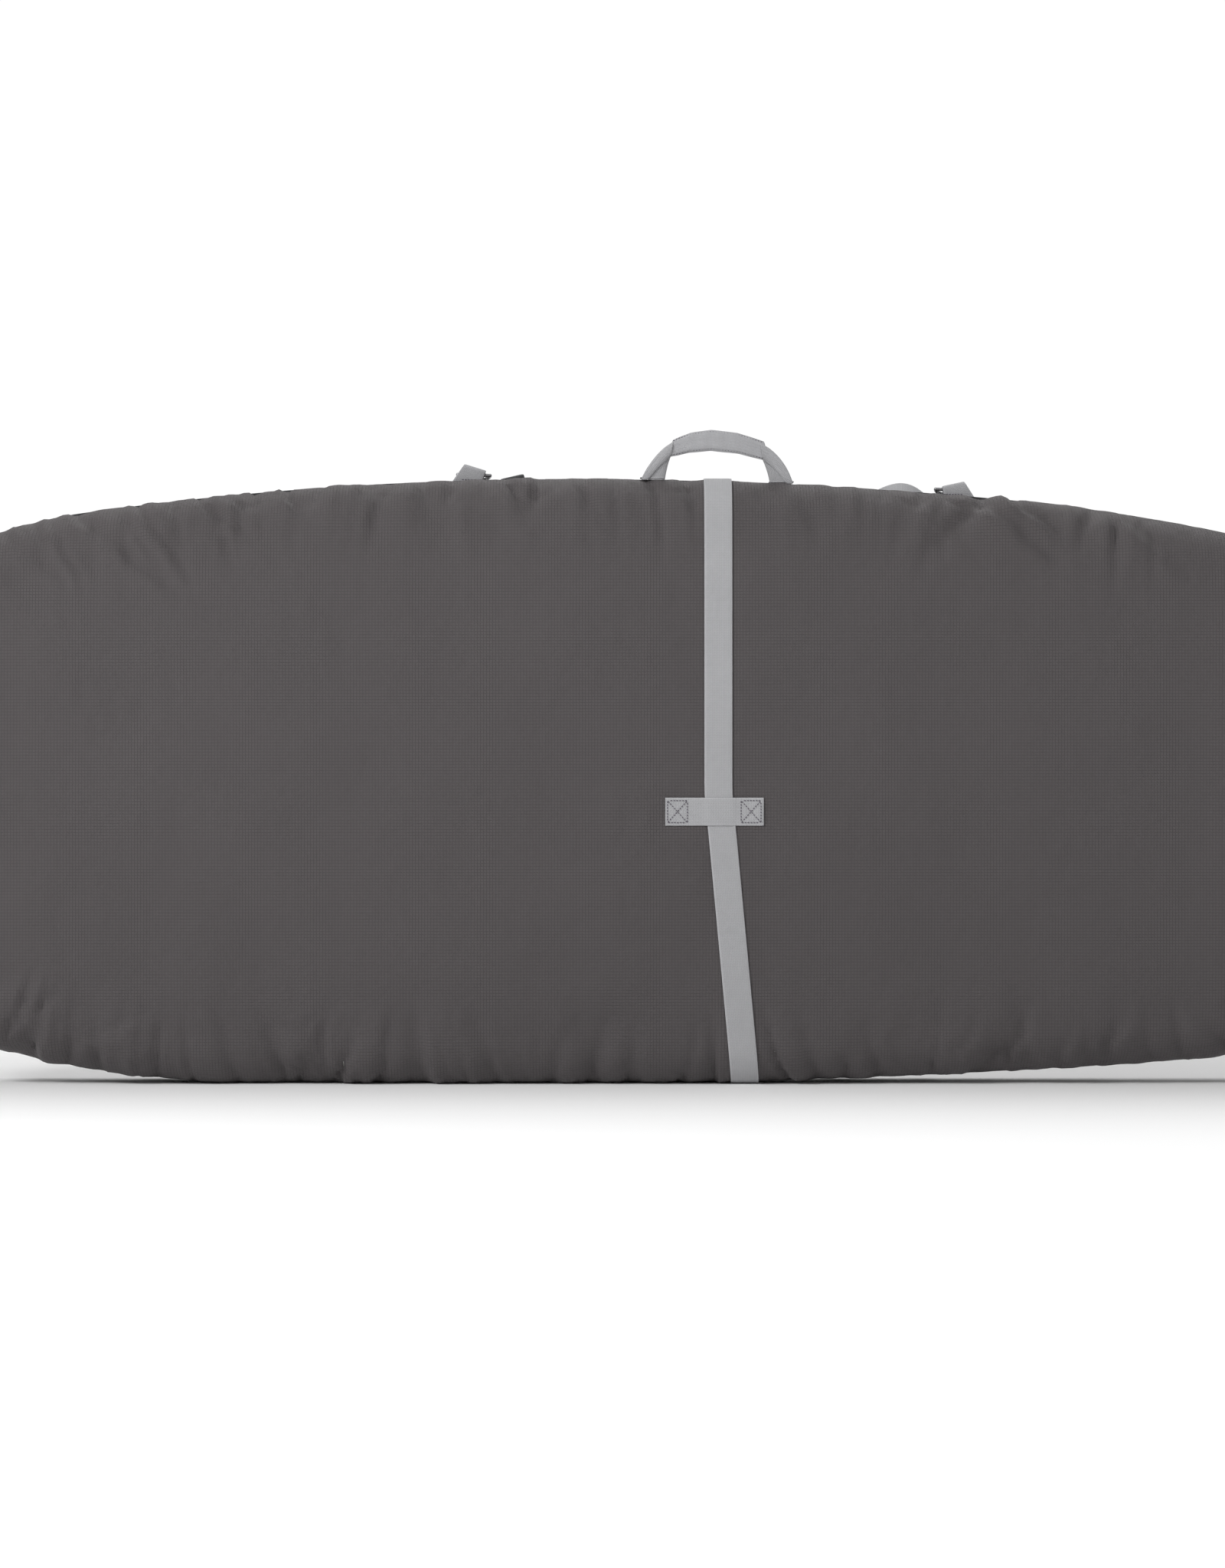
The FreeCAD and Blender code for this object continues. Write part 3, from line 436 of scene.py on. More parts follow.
def box_x(centre, half_u, half_v, u, v, normal):
    """The five rows of a box-and-cross stitch round a centre."""
    centre, u, v, normal = (np.asarray(a, float) for a in (centre, u, v, normal))
    corners = [centre + u * a * half_u + v * b * half_v
               for a, b in ((-1, -1), (1, -1), (1, 1), (-1, 1))]
    pairs = [(0, 1), (1, 2), (2, 3), (3, 0), (0, 2), (1, 3)]
    return [([corners[a], corners[b]], [normal, normal]) for a, b in pairs]


# ---------------------------------------------------------------- materials
def socket(group, label, kind, way, value=None):
    """One input or output of a node group."""
    made = group.interface.new_socket(name=label, in_out=way, socket_type=kind)
    if value is not None:
        made.default_value = value


class Tree:
    """Short calls for building a node tree."""

    def __init__(self, tree):
        self.tree = tree

    def node(self, kind, **settings):
        made = self.tree.nodes.new(kind)
        for key, value in settings.items():
            setattr(made, key, value)
        return made

    def link(self, start, end):
        self.tree.links.new(start, end)

    def put(self, value, end):
        if isinstance(value, bpy.types.NodeSocket):
            self.link(value, end)
        else:
            end.default_value = value

    def math(self, operation, first, second=0.0, third=0.0, clamp=False):
        made = self.node("ShaderNodeMath", operation=operation, use_clamp=clamp)
        for index, value in enumerate((first, second, third)):
            self.put(value, made.inputs[index])
        return made.outputs[0]

    def noise(self, place, scale, detail=2.0, rough=0.5):
        made = self.node("ShaderNodeTexNoise")
        self.put(place, made.inputs["Vector"])
        self.put(scale, made.inputs["Scale"])
        made.inputs["Detail"].default_value = detail
        made.inputs["Roughness"].default_value = rough
        return made.outputs["Fac"]

    def mix(self, factor, first, second, way="MIX"):
        made = self.node("ShaderNodeMix", data_type="RGBA", blend_type=way)
        self.put(factor, made.inputs["Factor"])
        self.put(first, made.inputs["A"])
        self.put(second, made.inputs["B"])
        return made.outputs["Result"]

    def spread(self, value, low, high, new_low, new_high):
        made = self.node("ShaderNodeMapRange")
        for index, number in enumerate((value, low, high, new_low, new_high)):
            self.put(number, made.inputs[index])
        return made.outputs[0]


def group_tree(name, inputs, outputs):
    """An empty node group with named sockets, and its ends."""
    group = bpy.data.node_groups.new(name, "ShaderNodeTree")
    for label, kind, value in inputs:
        socket(group, label, kind, "INPUT", value)
    for label, kind in outputs:
        socket(group, label, kind, "OUTPUT")
    tree = Tree(group)
    return group, tree, tree.node("NodeGroupInput"), tree.node("NodeGroupOutput")


def ripstop_group():
    """Square grid of thicker yarns over a fine plain weave."""
    group, t, given, out = group_tree(
        "Ripstop weave", (("Place", "NodeSocketVector", None), ("Cell", "NodeSocketFloat", 0.0042)),
        (("Line", "NodeSocketFloat"), ("Height", "NodeSocketFloat")))
    apart = t.node("ShaderNodeSeparateXYZ")
    t.link(given.outputs["Place"], apart.inputs[0])
    lines, yarns = [], []
    for axis in (0, 1):
        step = t.math("DIVIDE", apart.outputs[axis], given.outputs["Cell"])
        wave = t.math("ABSOLUTE", t.math("SUBTRACT", t.math("FRACT", step), 0.5))
        lines.append(t.spread(wave, 0.37, 0.47, 0.0, 1.0))
        yarns.append(t.math("SINE", t.math("MULTIPLY", step, 2 * math.pi * 9)))
    line = t.math("MAXIMUM", lines[0], lines[1])
    t.link(line, out.inputs["Line"])
    weave = t.math("MULTIPLY", t.math("MULTIPLY", yarns[0], yarns[1]), 0.12)
    t.link(t.math("ADD", t.math("MULTIPLY", line, 0.8), weave), out.inputs["Height"])
    return group


def webbing_group():
    """Cross ribs of woven webbing with a plain selvedge; the rib shade output drives painted shade
    in the grooves between the ribs.
    """
    group, t, given, out = group_tree(
        "Webbing ribs", (("Place", "NodeSocketVector", None), ("Rib", "NodeSocketFloat", 0.0013),
                         ("Half width", "NodeSocketFloat", 0.019)),
        (("Rib shade", "NodeSocketFloat"), ("Selvedge", "NodeSocketFloat"),
         ("Height", "NodeSocketFloat")))
    apart = t.node("ShaderNodeSeparateXYZ")
    t.link(given.outputs["Place"], apart.inputs[0])
    along = t.math("DIVIDE", apart.outputs[1], given.outputs["Rib"])
    cross = t.math("DIVIDE", apart.outputs[0], t.math("MULTIPLY", given.outputs["Rib"], 1.6))
    twill = t.math("ADD", along, t.math("MULTIPLY", t.math("PINGPONG", cross, 1.0), 0.5))
    rib = t.math("MULTIPLY_ADD", t.math("SINE", t.math("MULTIPLY", twill, 2 * math.pi)), 0.5, 0.5)
    warp = t.math("MULTIPLY_ADD", t.math("SINE", t.math("MULTIPLY", cross, 2 * math.pi)), 0.5, 0.5)
    both = t.math("ADD", t.math("MULTIPLY", rib, 0.7), t.math("MULTIPLY", warp, 0.3))
    side = t.math("DIVIDE", t.math("ABSOLUTE", apart.outputs[0]), given.outputs["Half width"])
    t.link(both, out.inputs["Rib shade"])
    t.link(t.spread(side, 0.88, 0.95, 0.0, 1.0), out.inputs["Selvedge"])
    t.link(both, out.inputs["Height"])
    return group


def mottle_group():
    """Broad uneven tone with scuffs."""
    group, t, given, out = group_tree(
        "Mottling", (("Place", "NodeSocketVector", None), ("Scale", "NodeSocketFloat", 6.0),
                     ("Colour", "NodeSocketColor", (0.5, 0.5, 0.5, 1)),
                     ("Strength", "NodeSocketFloat", 0.15)),
        (("Colour", "NodeSocketColor"), ("Scuff", "NodeSocketFloat")))
    broad = t.noise(given.outputs["Place"], given.outputs["Scale"], 3.0, 0.6)
    fine = t.noise(given.outputs["Place"], t.math("MULTIPLY", given.outputs["Scale"], 14.0),
                   3.0, 0.65)
    tone = t.math("ADD", t.math("MULTIPLY", t.math("SUBTRACT", broad, 0.5), 1.6),
                  t.math("MULTIPLY", t.math("SUBTRACT", fine, 0.5), 0.7))
    gain = t.math("MULTIPLY_ADD", tone, given.outputs["Strength"], 1.0)
    bright = t.node("ShaderNodeVectorMath", operation="SCALE")
    t.link(given.outputs["Colour"], bright.inputs[0])
    t.link(gain, bright.inputs["Scale"])
    t.link(bright.outputs[0], out.inputs["Colour"])
    t.link(t.spread(fine, 0.58, 0.75, 0.0, 1.0), out.inputs["Scuff"])
    return group


def placed_group(tree, name, **given):
    """A group node with some of its inputs set or linked."""
    made = tree.node("ShaderNodeGroup")
    made.node_tree = bpy.data.node_groups[name]
    for key, value in given.items():
        tree.put(value, made.inputs[key.replace("_", " ").capitalize()])
    return made


def start_material(name, roughness, metallic=0.0, sheen=0.0, coat=0.0, specular=0.5):
    """A material with its shader and its constants set on the shader's own sockets."""
    made = bpy.data.materials.new(name)
    made.use_nodes = True
    tree = Tree(made.node_tree)
    shader = made.node_tree.nodes["Principled BSDF"]
    for key, value in (("Roughness", roughness), ("Metallic", metallic), ("Sheen Weight", sheen),
                       ("Coat Weight", coat), ("Specular IOR Level", specular)):
        shader.inputs[key].default_value = value
    places = tree.node("ShaderNodeTexCoord")
    return made, tree, shader, places


def bump(tree, shader, height, distance):
    """Bump on the shader's normal."""
    made = tree.node("ShaderNodeBump")
    made.inputs["Distance"].default_value = distance
    tree.link(height, made.inputs["Height"])
    tree.link(made.outputs["Normal"], shader.inputs["Normal"])


def cloth_material(name, tint, cell, line_gain, roughness, sheen, mottle=0.12, depth=0.0003):
    """Ripstop or plain woven cloth."""
    made, t, shader, places = start_material(name, roughness, sheen=sheen, specular=0.28)
    weave = placed_group(t, "Ripstop weave", place=places.outputs["UV"], cell=cell)
    tone = placed_group(t, "Mottling", place=places.outputs["Object"], scale=5.0,
                        colour=(*tint, 1), strength=mottle)
    lined = t.mix(t.math("MULTIPLY", weave.outputs["Line"], line_gain), tone.outputs["Colour"],
                  tuple(c * 0.62 for c in tint) + (1,))
    t.link(lined, shader.inputs["Base Color"])
    t.link(t.math("MULTIPLY_ADD", tone.outputs["Scuff"], 0.12, roughness, clamp=True),
           shader.inputs["Roughness"])
    crinkle = t.noise(places.outputs["Object"], 70.0, 3.0, 0.6)
    bump(t, shader, t.math("ADD", weave.outputs["Height"], t.math("MULTIPLY", crinkle, 3.2)), depth)
    return made


def webbing_material(name, tint, rib, half_width, roughness=0.72, sheen=0.25, depth=0.0005):
    """Woven webbing with ribs and a smoother selvedge."""
    made, t, shader, places = start_material(name, roughness, sheen=sheen, specular=0.3)
    ribs = placed_group(t, "Webbing ribs", place=places.outputs["UV"], rib=rib,
                        half_width=half_width)
    tone = placed_group(t, "Mottling", place=places.outputs["Object"], scale=9.0,
                        colour=(*tint, 1), strength=0.16)
    dark = tuple(c * 0.62 for c in tint) + (1,)
    # painted shade: the colour darkens towards the dark tint in the grooves between the ribs
    shaded = t.mix(t.math("MULTIPLY_ADD", ribs.outputs["Rib shade"], -0.8, 0.68),
                   tone.outputs["Colour"], dark)
    pale = tuple(min(1, c * 1.12) for c in tint) + (1,)
    t.link(t.mix(t.math("MULTIPLY", ribs.outputs["Selvedge"], 0.6), shaded, pale),
           shader.inputs["Base Color"])
    t.link(t.math("MULTIPLY_ADD", ribs.outputs["Rib shade"], -0.12, roughness + 0.05),
           shader.inputs["Roughness"])
    bump(t, shader, ribs.outputs["Height"], depth)
    return made


def moulded_material(name, tint, roughness, grain=900.0, metallic=0.0, coat=0.0, wear=0.3):
    """Moulded or cast surface with fine grain and scuffs."""
    made, t, shader, places = start_material(name, roughness, metallic=metallic, coat=coat)
    tone = placed_group(t, "Mottling", place=places.outputs["Object"], scale=60.0,
                        colour=(*tint, 1), strength=0.25)
    worn = tuple(min(1, c * 1.7 + 0.02) for c in tint) + (1,)
    t.link(t.mix(t.math("MULTIPLY", tone.outputs["Scuff"], wear), tone.outputs["Colour"], worn),
           shader.inputs["Base Color"])
    t.link(t.math("MULTIPLY_ADD", tone.outputs["Scuff"], 0.2, roughness, clamp=True),
           shader.inputs["Roughness"])
    bump(t, shader, t.noise(places.outputs["Object"], grain, 2.0), 0.00012)
    return made


def thread_material(name, tint):
    """Twisted sewing thread."""
    made, t, shader, places = start_material(name, 0.6, sheen=0.2)
    wave = t.node("ShaderNodeTexWave", wave_type="BANDS")
    t.link(places.outputs["Object"], wave.inputs["Vector"])
    wave.inputs["Scale"].default_value = 900.0
    t.link(t.mix(wave.outputs["Fac"], tuple(c * 0.8 for c in tint) + (1,), (*tint, 1)),
           shader.inputs["Base Color"])
    bump(t, shader, wave.outputs["Fac"], 0.0001)
    return made


def floor_material():
    """Pale matt floor."""
    made, t, shader, places = start_material("Pale floor", 0.9, specular=0.1)
    tone = placed_group(t, "Mottling", place=places.outputs["Object"], scale=0.6,
                        colour=(0.95, 0.95, 0.95, 1), strength=0.01)
    t.link(tone.outputs["Colour"], shader.inputs["Base Color"])
    return made


def look(name):
    """A finished material by name."""
    return bpy.data.materials[name]


class BAG_OT_finishes(bpy.types.Operator):
    """Makes every material and gives the fittings theirs"""

    bl_idname = "board_bag.finishes"
    bl_label = "Finishes"

    def execute(self, context):
        c = values("bag_finishes")
        half = values("bag_webbing").width / 2
        ripstop_group(), webbing_group(), mottle_group()
        cloth_material("Ripstop fabric", c.ripstop, 0.0042, 0.75, 0.52, 0.05, 0.10, 0.0004)
        cloth_material("Lining fabric", c.lining, 0.0016, 0.2, 0.7, 0.1, 0.1, 0.0003)
        cloth_material("Binding tape", c.binding, 0.0012, 0.4, 0.8, 0.2)
        cloth_material("Zip tape", c.zip_tape, 0.0009, 0.4, 0.8, 0.2)
        cloth_material("Pad fabric", c.pad, 0.0022, 0.3, 0.75, 0.3, 0.15, 0.0005)
        moulded_material("Padding foam", c.foam, 0.95, 500.0)
        webbing_material("Grey webbing", c.webbing, 0.0015, half)
        webbing_material("Grip fabric", c.grip, 0.0013, half)
        webbing_material("Dark webbing", c.dark_webbing, 0.0014, half)
        moulded_material("Coil plastic", c.coil, 0.4)
        moulded_material("Black plastic", c.plastic, 0.42)
        moulded_material("Ring metal", c.metal, 0.32, 300.0, metallic=0.9)
        moulded_material("Slider metal", c.slider, 0.36, 300.0, metallic=0.8, coat=0.2)
        moulded_material("Tab rubber", c.tab, 0.65)
        thread_material("Sewing thread", c.thread)
        thread_material("Dark thread", tuple(v * 0.25 for v in c.thread))
        fittings = {"Black plastic": ("buckle_socket", "buckle_plug", "length_adjuster", "hook_left",
                                      "hook_right"),
                    "Ring metal": ("d_ring_left", "d_ring_right"),
                    "Slider metal": ("zip_slider_upper", "zip_slider_lower", "zip_stops"),
                    "Tab rubber": ("pull_tab_upper", "pull_tab_lower")}
        for material, nodes in fittings.items():
            for node in nodes:
                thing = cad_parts[node]
                for place in thing.material_slots:
                    place.material = look(material)
        return {"FINISHED"}


# ---------------------------------------------------------------- shells
# Long folds of the front face: start, end, depth and half width.
FOLDS = (
    ((-0.873, 0.784), (-0.741, 0.678), 0.0045, 0.010),
    ((-0.628, 0.812), (-0.616, 0.770), 0.0050, 0.008),
    ((-0.039, 0.818), (-0.004, 0.750), 0.0040, 0.008),
    ((0.360, 0.806), (0.455, 0.722), 0.0050, 0.010),
    ((0.285, 0.806), (0.345, 0.735), 0.0030, 0.010),
    ((0.560, 0.780), (0.640, 0.700), 0.0035, 0.011),
    ((-0.800, 0.772), (-0.765, 0.725), 0.0035, 0.008),
    ((-0.955, 0.745), (-0.900, 0.700), 0.0030, 0.009),
    ((0.330, 0.030), (0.352, 0.085), 0.0042, 0.008),
    ((0.402, 0.032), (0.425, 0.092), 0.0045, 0.009),
    ((0.470, 0.035), (0.486, 0.080), 0.0038, 0.008),
    ((0.530, 0.040), (0.560, 0.100), 0.0040, 0.009),
    ((-0.965, 0.075), (-0.900, 0.120), 0.0030, 0.008),
    ((-0.870, 0.060), (-0.780, 0.095), 0.0026, 0.008),
    ((-0.180, 0.812), (-0.150, 0.765), 0.0028, 0.008),
    ((0.110, 0.812), (0.128, 0.770), 0.0030, 0.008),
    ((-0.790, 0.795), (-0.720, 0.700), 0.0050, 0.007),
    ((-0.700, 0.800), (-0.640, 0.750), 0.0055, 0.007),
    ((-0.585, 0.815), (-0.560, 0.780), 0.0060, 0.006),
    ((-0.905, 0.770), (-0.865, 0.690), 0.0045, 0.007),
    ((-0.450, 0.815), (-0.470, 0.740), 0.0035, 0.009),
    ((0.395, 0.812), (0.480, 0.745), 0.0055, 0.008),
)


def bell(value):
    """A smooth hump at zero."""
    return math.exp(-value * value)


def fold_height(x, z):
    """Depth of the long folds at a place of the face."""
    total = 0.0
    for (x0, z0), (x1, z1), depth, width in FOLDS:
        dx, dz = x1 - x0, z1 - z0
        length = math.hypot(dx, dz)
        along = ((x - x0) * dx + (z - z0) * dz) / length
        if along < -0.05 or along > length + 0.05:
            continue
        off = ((x - x0) * dz - (z - z0) * dx) / length
        off += 0.006 * noise.noise(Vector((along * 30, x0, z0)))
        reach = abs(off) / width
        if reach > 4:
            continue
        fade = min(1, max(0, (along + 0.03) / 0.04))
        fade = fade * min(1, max(0, (length + 0.03 - along) / 0.06))
        total += depth * fade * (0.7 * bell(off / width - 1.3) - 1.0 * bell(off / width * 1.3))
    return total


def rumple(s, edge_x, edge_z, run, x, z, seed):
    """How far the cloth stands off the smooth shape: gathers by the rail, waves and crumples."""
    def at(*place):
        return noise.noise(Vector(place))

    slant = 0.55 * at(edge_x * 5, seed, edge_z * 5)
    place_x, place_z = edge_x + slant * run, edge_z + slant * run * (abs(edge_x) > 1.0)
    fold = at(place_x * 17, run * 3.5 + seed, place_z * 17)
    small = at(place_x * 41, run * 6 - seed, place_z * 41)
    tuck = at(edge_x * 30 + 5, run * 16 + seed, edge_z * 30)
    sharp = max(0.0, 1 - abs(fold) * 4.0) ** 1.6
    finer = max(0.0, 1 - abs(small) * 3.6) ** 2
    crease = max(0.0, 1 - abs(tuck) * 5.0) ** 2 * max(0.0, 0.3 + at(x * 8, z * 8, seed + 2))
    reach = 0.125 + 0.075 * at(edge_x * 9, seed * 2, edge_z * 9)
    patch = 0.55 + 0.9 * max(0.0, at(edge_x * 6.5, seed + 7, edge_z * 6.5) + 0.35)
    rise = min(1.0, max(0.10, (run - 0.016) / 0.045))
    gather = s.gather * patch * rise * math.exp(-(run / max(0.05, reach)) ** 2.4)
    gather *= min(1.0, max(0.0, (0.185 - run) / 0.05))
    wave = at(x * 4.2, seed, z * 4.2) + 0.45 * at(x * 10, seed + 3, z * 9)
    crisp = at(x * 46, seed, z * 38) * (0.35 + max(0, at(x * 5, seed + 9, z * 5)))
    inner = min(1.0, run / 0.12)
    return (gather * (0.62 * fold - 0.95 * sharp + 0.35 * small - 0.36 * finer - 0.5 * crease)
            + s.billow * wave * (0.35 + 0.65 * inner) * min(1, run / 0.05)
            + s.crumple * crisp)


def strap_middle(z):
    """X of the middle of the centre strap at this height."""
    w = values("bag_webbing")
    return w.strap_top_x + (w.strap_foot_x - w.strap_top_x) * max(0.0, 1 - z / w.strap_bend_z)


def pulled_flat(x, z, side):
    """0 where webbing holds the cloth flat, 1 away from it."""
    w = values("bag_webbing")
    off = (abs(x - strap_middle(z)) - w.width / 2) / 0.02
    if side == FRONT:
        keeper = max((abs(x - w.keeper_x) - w.keeper_length / 2) / 0.015,
                     (abs(z - w.keeper_z) - w.width / 2) / 0.015)
        off = min(off, keeper)
    return min(1.0, max(0.0, off))


def outline_grid(lines, side, lay_in, coarse):
    """Places of a skin's grid, with the X and Z on the outline and the run along the cloth."""
    s = values("bag_shell")
    inset, depth, run = rail_profile(0.0, lay_in)
    rail_run = run[-1]
    span = np.linspace(0, 1, 18 if coarse == 1 else 9)[1:] * FACE_MARGIN
    inner = inset[-1] + span
    run = np.concatenate([run, rail_run + span])
    depth = np.concatenate([depth, face_depth(inner) - lay_in])
    inset = np.concatenate([inset, inner])
    rows, middle = len(inset), int(FACE_SPAN / (s.grid * coarse))
    grid = np.zeros((2 * rows + middle, len(lines[0]), 3))
    facts = np.zeros_like(grid)
    for which, line in enumerate(lines):
        for k in range(rows):
            row = edge_row(which, k, len(grid))
            grid[row, :, 0] = line[:, 0] - line[:, 2] * inset[k]
            grid[row, :, 1] = side * depth[k]
            grid[row, :, 2] = line[:, 1] - line[:, 3] * inset[k]
            facts[row, :, 0], facts[row, :, 1], facts[row, :, 2] = line[:, 0], line[:, 1], run[k]
    top, low = grid[rows - 1].copy(), grid[rows + middle].copy()
    gap = np.linalg.norm(top - low, axis=1)
    for m in range(middle):
        t = (m + 1) / (middle + 1)
        beyond = np.minimum(t, 1 - t) * gap
        grid[rows + m] = top * (1 - t) + low * t
        grid[rows + m, :, 1] = side * (face_depth(inset[-1] + beyond) - lay_in)
        facts[rows + m, :, :2] = facts[rows - 1 if t < 0.5 else rows + middle, :, :2]
        facts[rows + m, :, 2] = run[-1] + beyond
    return grid, facts, rows, depth, rail_run


def edge_row(which, k, count):
    """Row of the grid that is k rows from the crest edge (0) or from the foot edge (1)."""
    return k if which == 0 else count - 1 - k


def start_edge(lines, setback):
    """Where the cloth starts beside the zip plane: the slot along the zip, a seam on the crest."""
    s, o = values("bag_shell"), values("bag_outline")
    if setback is not None:
        return [np.full(len(line), setback) for line in lines]
    first = o.crest_x - o.crest_tail_round * math.sin(o.crest_tail_sweep)
    last = o.crest_x + o.crest_nose_round * math.sin(o.crest_nose_sweep)
    crest, foot = lines
    into = np.clip(np.minimum(crest[:, 0] - first, last - crest[:, 0]) / 0.012, 0, 1)
    return [s.zip_slot + (s.crest_slot - s.zip_slot) * into, np.full(len(foot), s.zip_slot)]


def grid_faces(rows, count, columns, side):
    """Quads of the grid, with the middle rows drawn together at both tips."""
    index = np.arange(count * columns).reshape(count, columns)
    for c in (0, columns - 1):
        index[rows:count - rows, c] = index[rows - 1, c]
        for k in range(rows):
            index[count - 1 - k, c] = index[k, c]
    faces = []
    for r in range(count - 1):
        for c in range(columns - 1):
            quad = (index[r, c], index[r, c + 1], index[r + 1, c + 1], index[r + 1, c])
            quad = tuple(dict.fromkeys(int(i) for i in quad))
            if len(quad) > 2:
                faces.append(quad if side == FRONT else quad[::-1])
    return faces


def cloth_places(verts, info, rail_run):
    """UV map in metres along the cloth, without stretch over the rail."""
    out = np.stack([info[:, 0] - verts[:, 0], info[:, 1] - verts[:, 2]], axis=1)
    far = np.linalg.norm(out, axis=1)[:, None] + 1e-9
    slack = np.maximum(0, (rail_run - info[:, 2:3]) - (values("bag_shell").rail_round - far))
    return np.stack([verts[:, 0], verts[:, 2]], 1) + out / far * slack


def half_shell(name, side, material, lay_in=0.0, setback=None, seed=0.0, rough=1.0, coarse=1.0):
    """One layer of a padded half: a single skin from rail to rail with its face between."""
    s = values("bag_shell")
    columns = int(GIRTH_SPAN / (s.grid * coarse))
    lines = [sample(run, columns) for run in outline_runs()]
    grid, facts, rows, depth, rail_run = outline_grid(lines, side, lay_in, coarse)
    for which, begin in enumerate(start_edge(lines, setback)):
        for k in range(FLAT_ROWS + 1):
            row, part = edge_row(which, k, len(grid)), k / FLAT_ROWS
            level = begin * (1 - part) + depth[FLAT_ROWS] * part
            grid[row, :, 1], facts[row, :, 2] = side * level, level
    faces = grid_faces(rows, len(grid), columns, side)
    used = np.unique(np.concatenate([np.array(f) for f in faces]))
    remap = np.full(grid.shape[0] * columns, -1)
    remap[used] = np.arange(len(used))
    faces = [tuple(int(remap[i]) for i in f) for f in faces]
    verts, info = grid.reshape(-1, 3)[used], facts.reshape(-1, 3)[used]
    thing = new_object(name, verts, faces, material, cloth_places(verts, info, rail_run))
    normals = np.empty(len(verts) * 3, np.float32)
    thing.data.vertex_normals.foreach_get("vector", normals)
    normals = normals.reshape(-1, 3)
    if np.mean(normals[:, 1]) * side < 0:
        thing.data.flip_normals()
        normals = -normals
    shift = np.zeros(len(verts))
    for i, (v, f) in enumerate(zip(verts, info)):
        hold = pulled_flat(v[0], v[2], side)
        if hold > 0:
            lift = rumple(s, *f, v[0], v[2], seed)
            if side == FRONT:
                lift += fold_height(v[0], v[2])
            shift[i] = lift * hold * (rough if lift > 0 else 1 + (1 - rough) * 0.3)
    moved = verts + normals * shift[:, None]
    moved[:, 2] = np.maximum(moved[:, 2], FLOOR_GAP)
    thing.data.vertices.foreach_set("co", moved.astype(np.float32).ravel())
    thing.data.update()
    return thing


def tucked(thing, cover, gap):
    """Draws a layer in so that it stays this far under the layer that covers it."""
    tree = BVHTree.FromPolygons([v.co for v in cover.vertices],
                                [tuple(p.vertices) for p in cover.polygons])
    normals = [n.vector.copy() for n in thing.data.vertex_normals]
    reach = 0.03
    for vertex, normal in zip(thing.data.vertices, normals):
        start = vertex.co - normal * reach
        distance = tree.ray_cast(start, normal, 3 * reach)[3]
        if distance is not None and distance - gap < reach:
            vertex.co = start + normal * max(0.0, distance - gap)
    thing.data.update()


def thicken(thing, thickness, subdivide=0):
    """Gives a single skin its thickness, inwards, and applies it."""
    shell = thing.modifiers.new("Thickness", "SOLIDIFY")
    shell.thickness = thickness
    shell.offset = -1.0
    if subdivide:
        smooth = thing.modifiers.new("Smooth", "SUBSURF")
        smooth.levels = smooth.render_levels = subdivide
    applied(thing)


def applied(thing):
    """Applies every modifier of a mesh."""
    graph = bpy.context.evaluated_depsgraph_get()
    made = bpy.data.meshes.new_from_object(thing.evaluated_get(graph))
    old = thing.data
    thing.modifiers.clear()
    thing.data = made
    made.name = thing.name
    bpy.data.meshes.remove(old)
    thing.data.polygons.foreach_set("use_smooth", np.ones(len(thing.data.polygons), bool))


class BAG_OT_shells(bpy.types.Operator):
    """Makes the outer fabric, the padding and the lining of both halves"""

    bl_idname = "board_bag.shells"
    bl_label = "Padded halves"

    def execute(self, context):
        s = values("bag_shell")
        for half, side, seed in (("front", FRONT, 0.0), ("back", BACK, 11.3)):
            body = half + "_shell"
            skin = half_shell(half + "_fabric", side, look("Ripstop fabric"), seed=seed)
            cover = skin.data.copy()
            thicken(skin, 0.0009)
            placed(skin, body, "ripstop_fabric", half + "_skin")
            padding = half_shell(half + "_padding", side, look("Padding foam"), 0.0040,
                                 s.padding_setback, seed, 0.6, 1.6)
            tucked(padding, cover, 0.0045)
            under = padding.data.copy()
            thicken(padding, 0.0030)
            placed(padding, body, "padding_foam", half + "_foam")
            lining = half_shell(half + "_inner_cloth", side, look("Lining fabric"), 0.0085,
                                s.padding_setback, seed, 0.6, 1.6)
            tucked(lining, under, 0.0040)
            thicken(lining, 0.0006, subdivide=1)
            placed(lining, body, "lining_fabric", half + "_lining")
            bpy.data.meshes.remove(cover)
            bpy.data.meshes.remove(under)
        return {"FINISHED"}


# ---------------------------------------------------------------- zip and edge tapes
def zip_run():
    """The outline along the zip, from the tail's shoulder round the foot to the nose's."""
    crest, foot = outline_runs()
    return turned(crest[:2]) + foot + turned(crest[4:])


def edge_strip(name, run, count, near, far, depth, thickness, material, waves=0, swell=0.0):
    """A strip that lies along the outline between two Y places, with ridges where asked."""
    rows = sample(run, count)
    across = np.linspace(0, 1, 5)
    verts, uvs = [], []
    for i, (x, z, out_x, out_z, distance) in enumerate(rows):
        ridge = swell * (0.5 + 0.5 * math.cos(2 * math.pi * i / waves)) if waves else 0.0
        top = [(near + (far - near) * a, depth - ridge * math.sin(math.pi * a) ** 0.5)
               for a in across]
        under = [(y, depth + thickness) for y, _ in reversed(top)]
        for y, inset in top + under:
            verts.append((x - out_x * inset, y, z - out_z * inset))
            uvs.append((y, distance))
    return loft(name, verts, uvs, count, 2 * len(across), material)


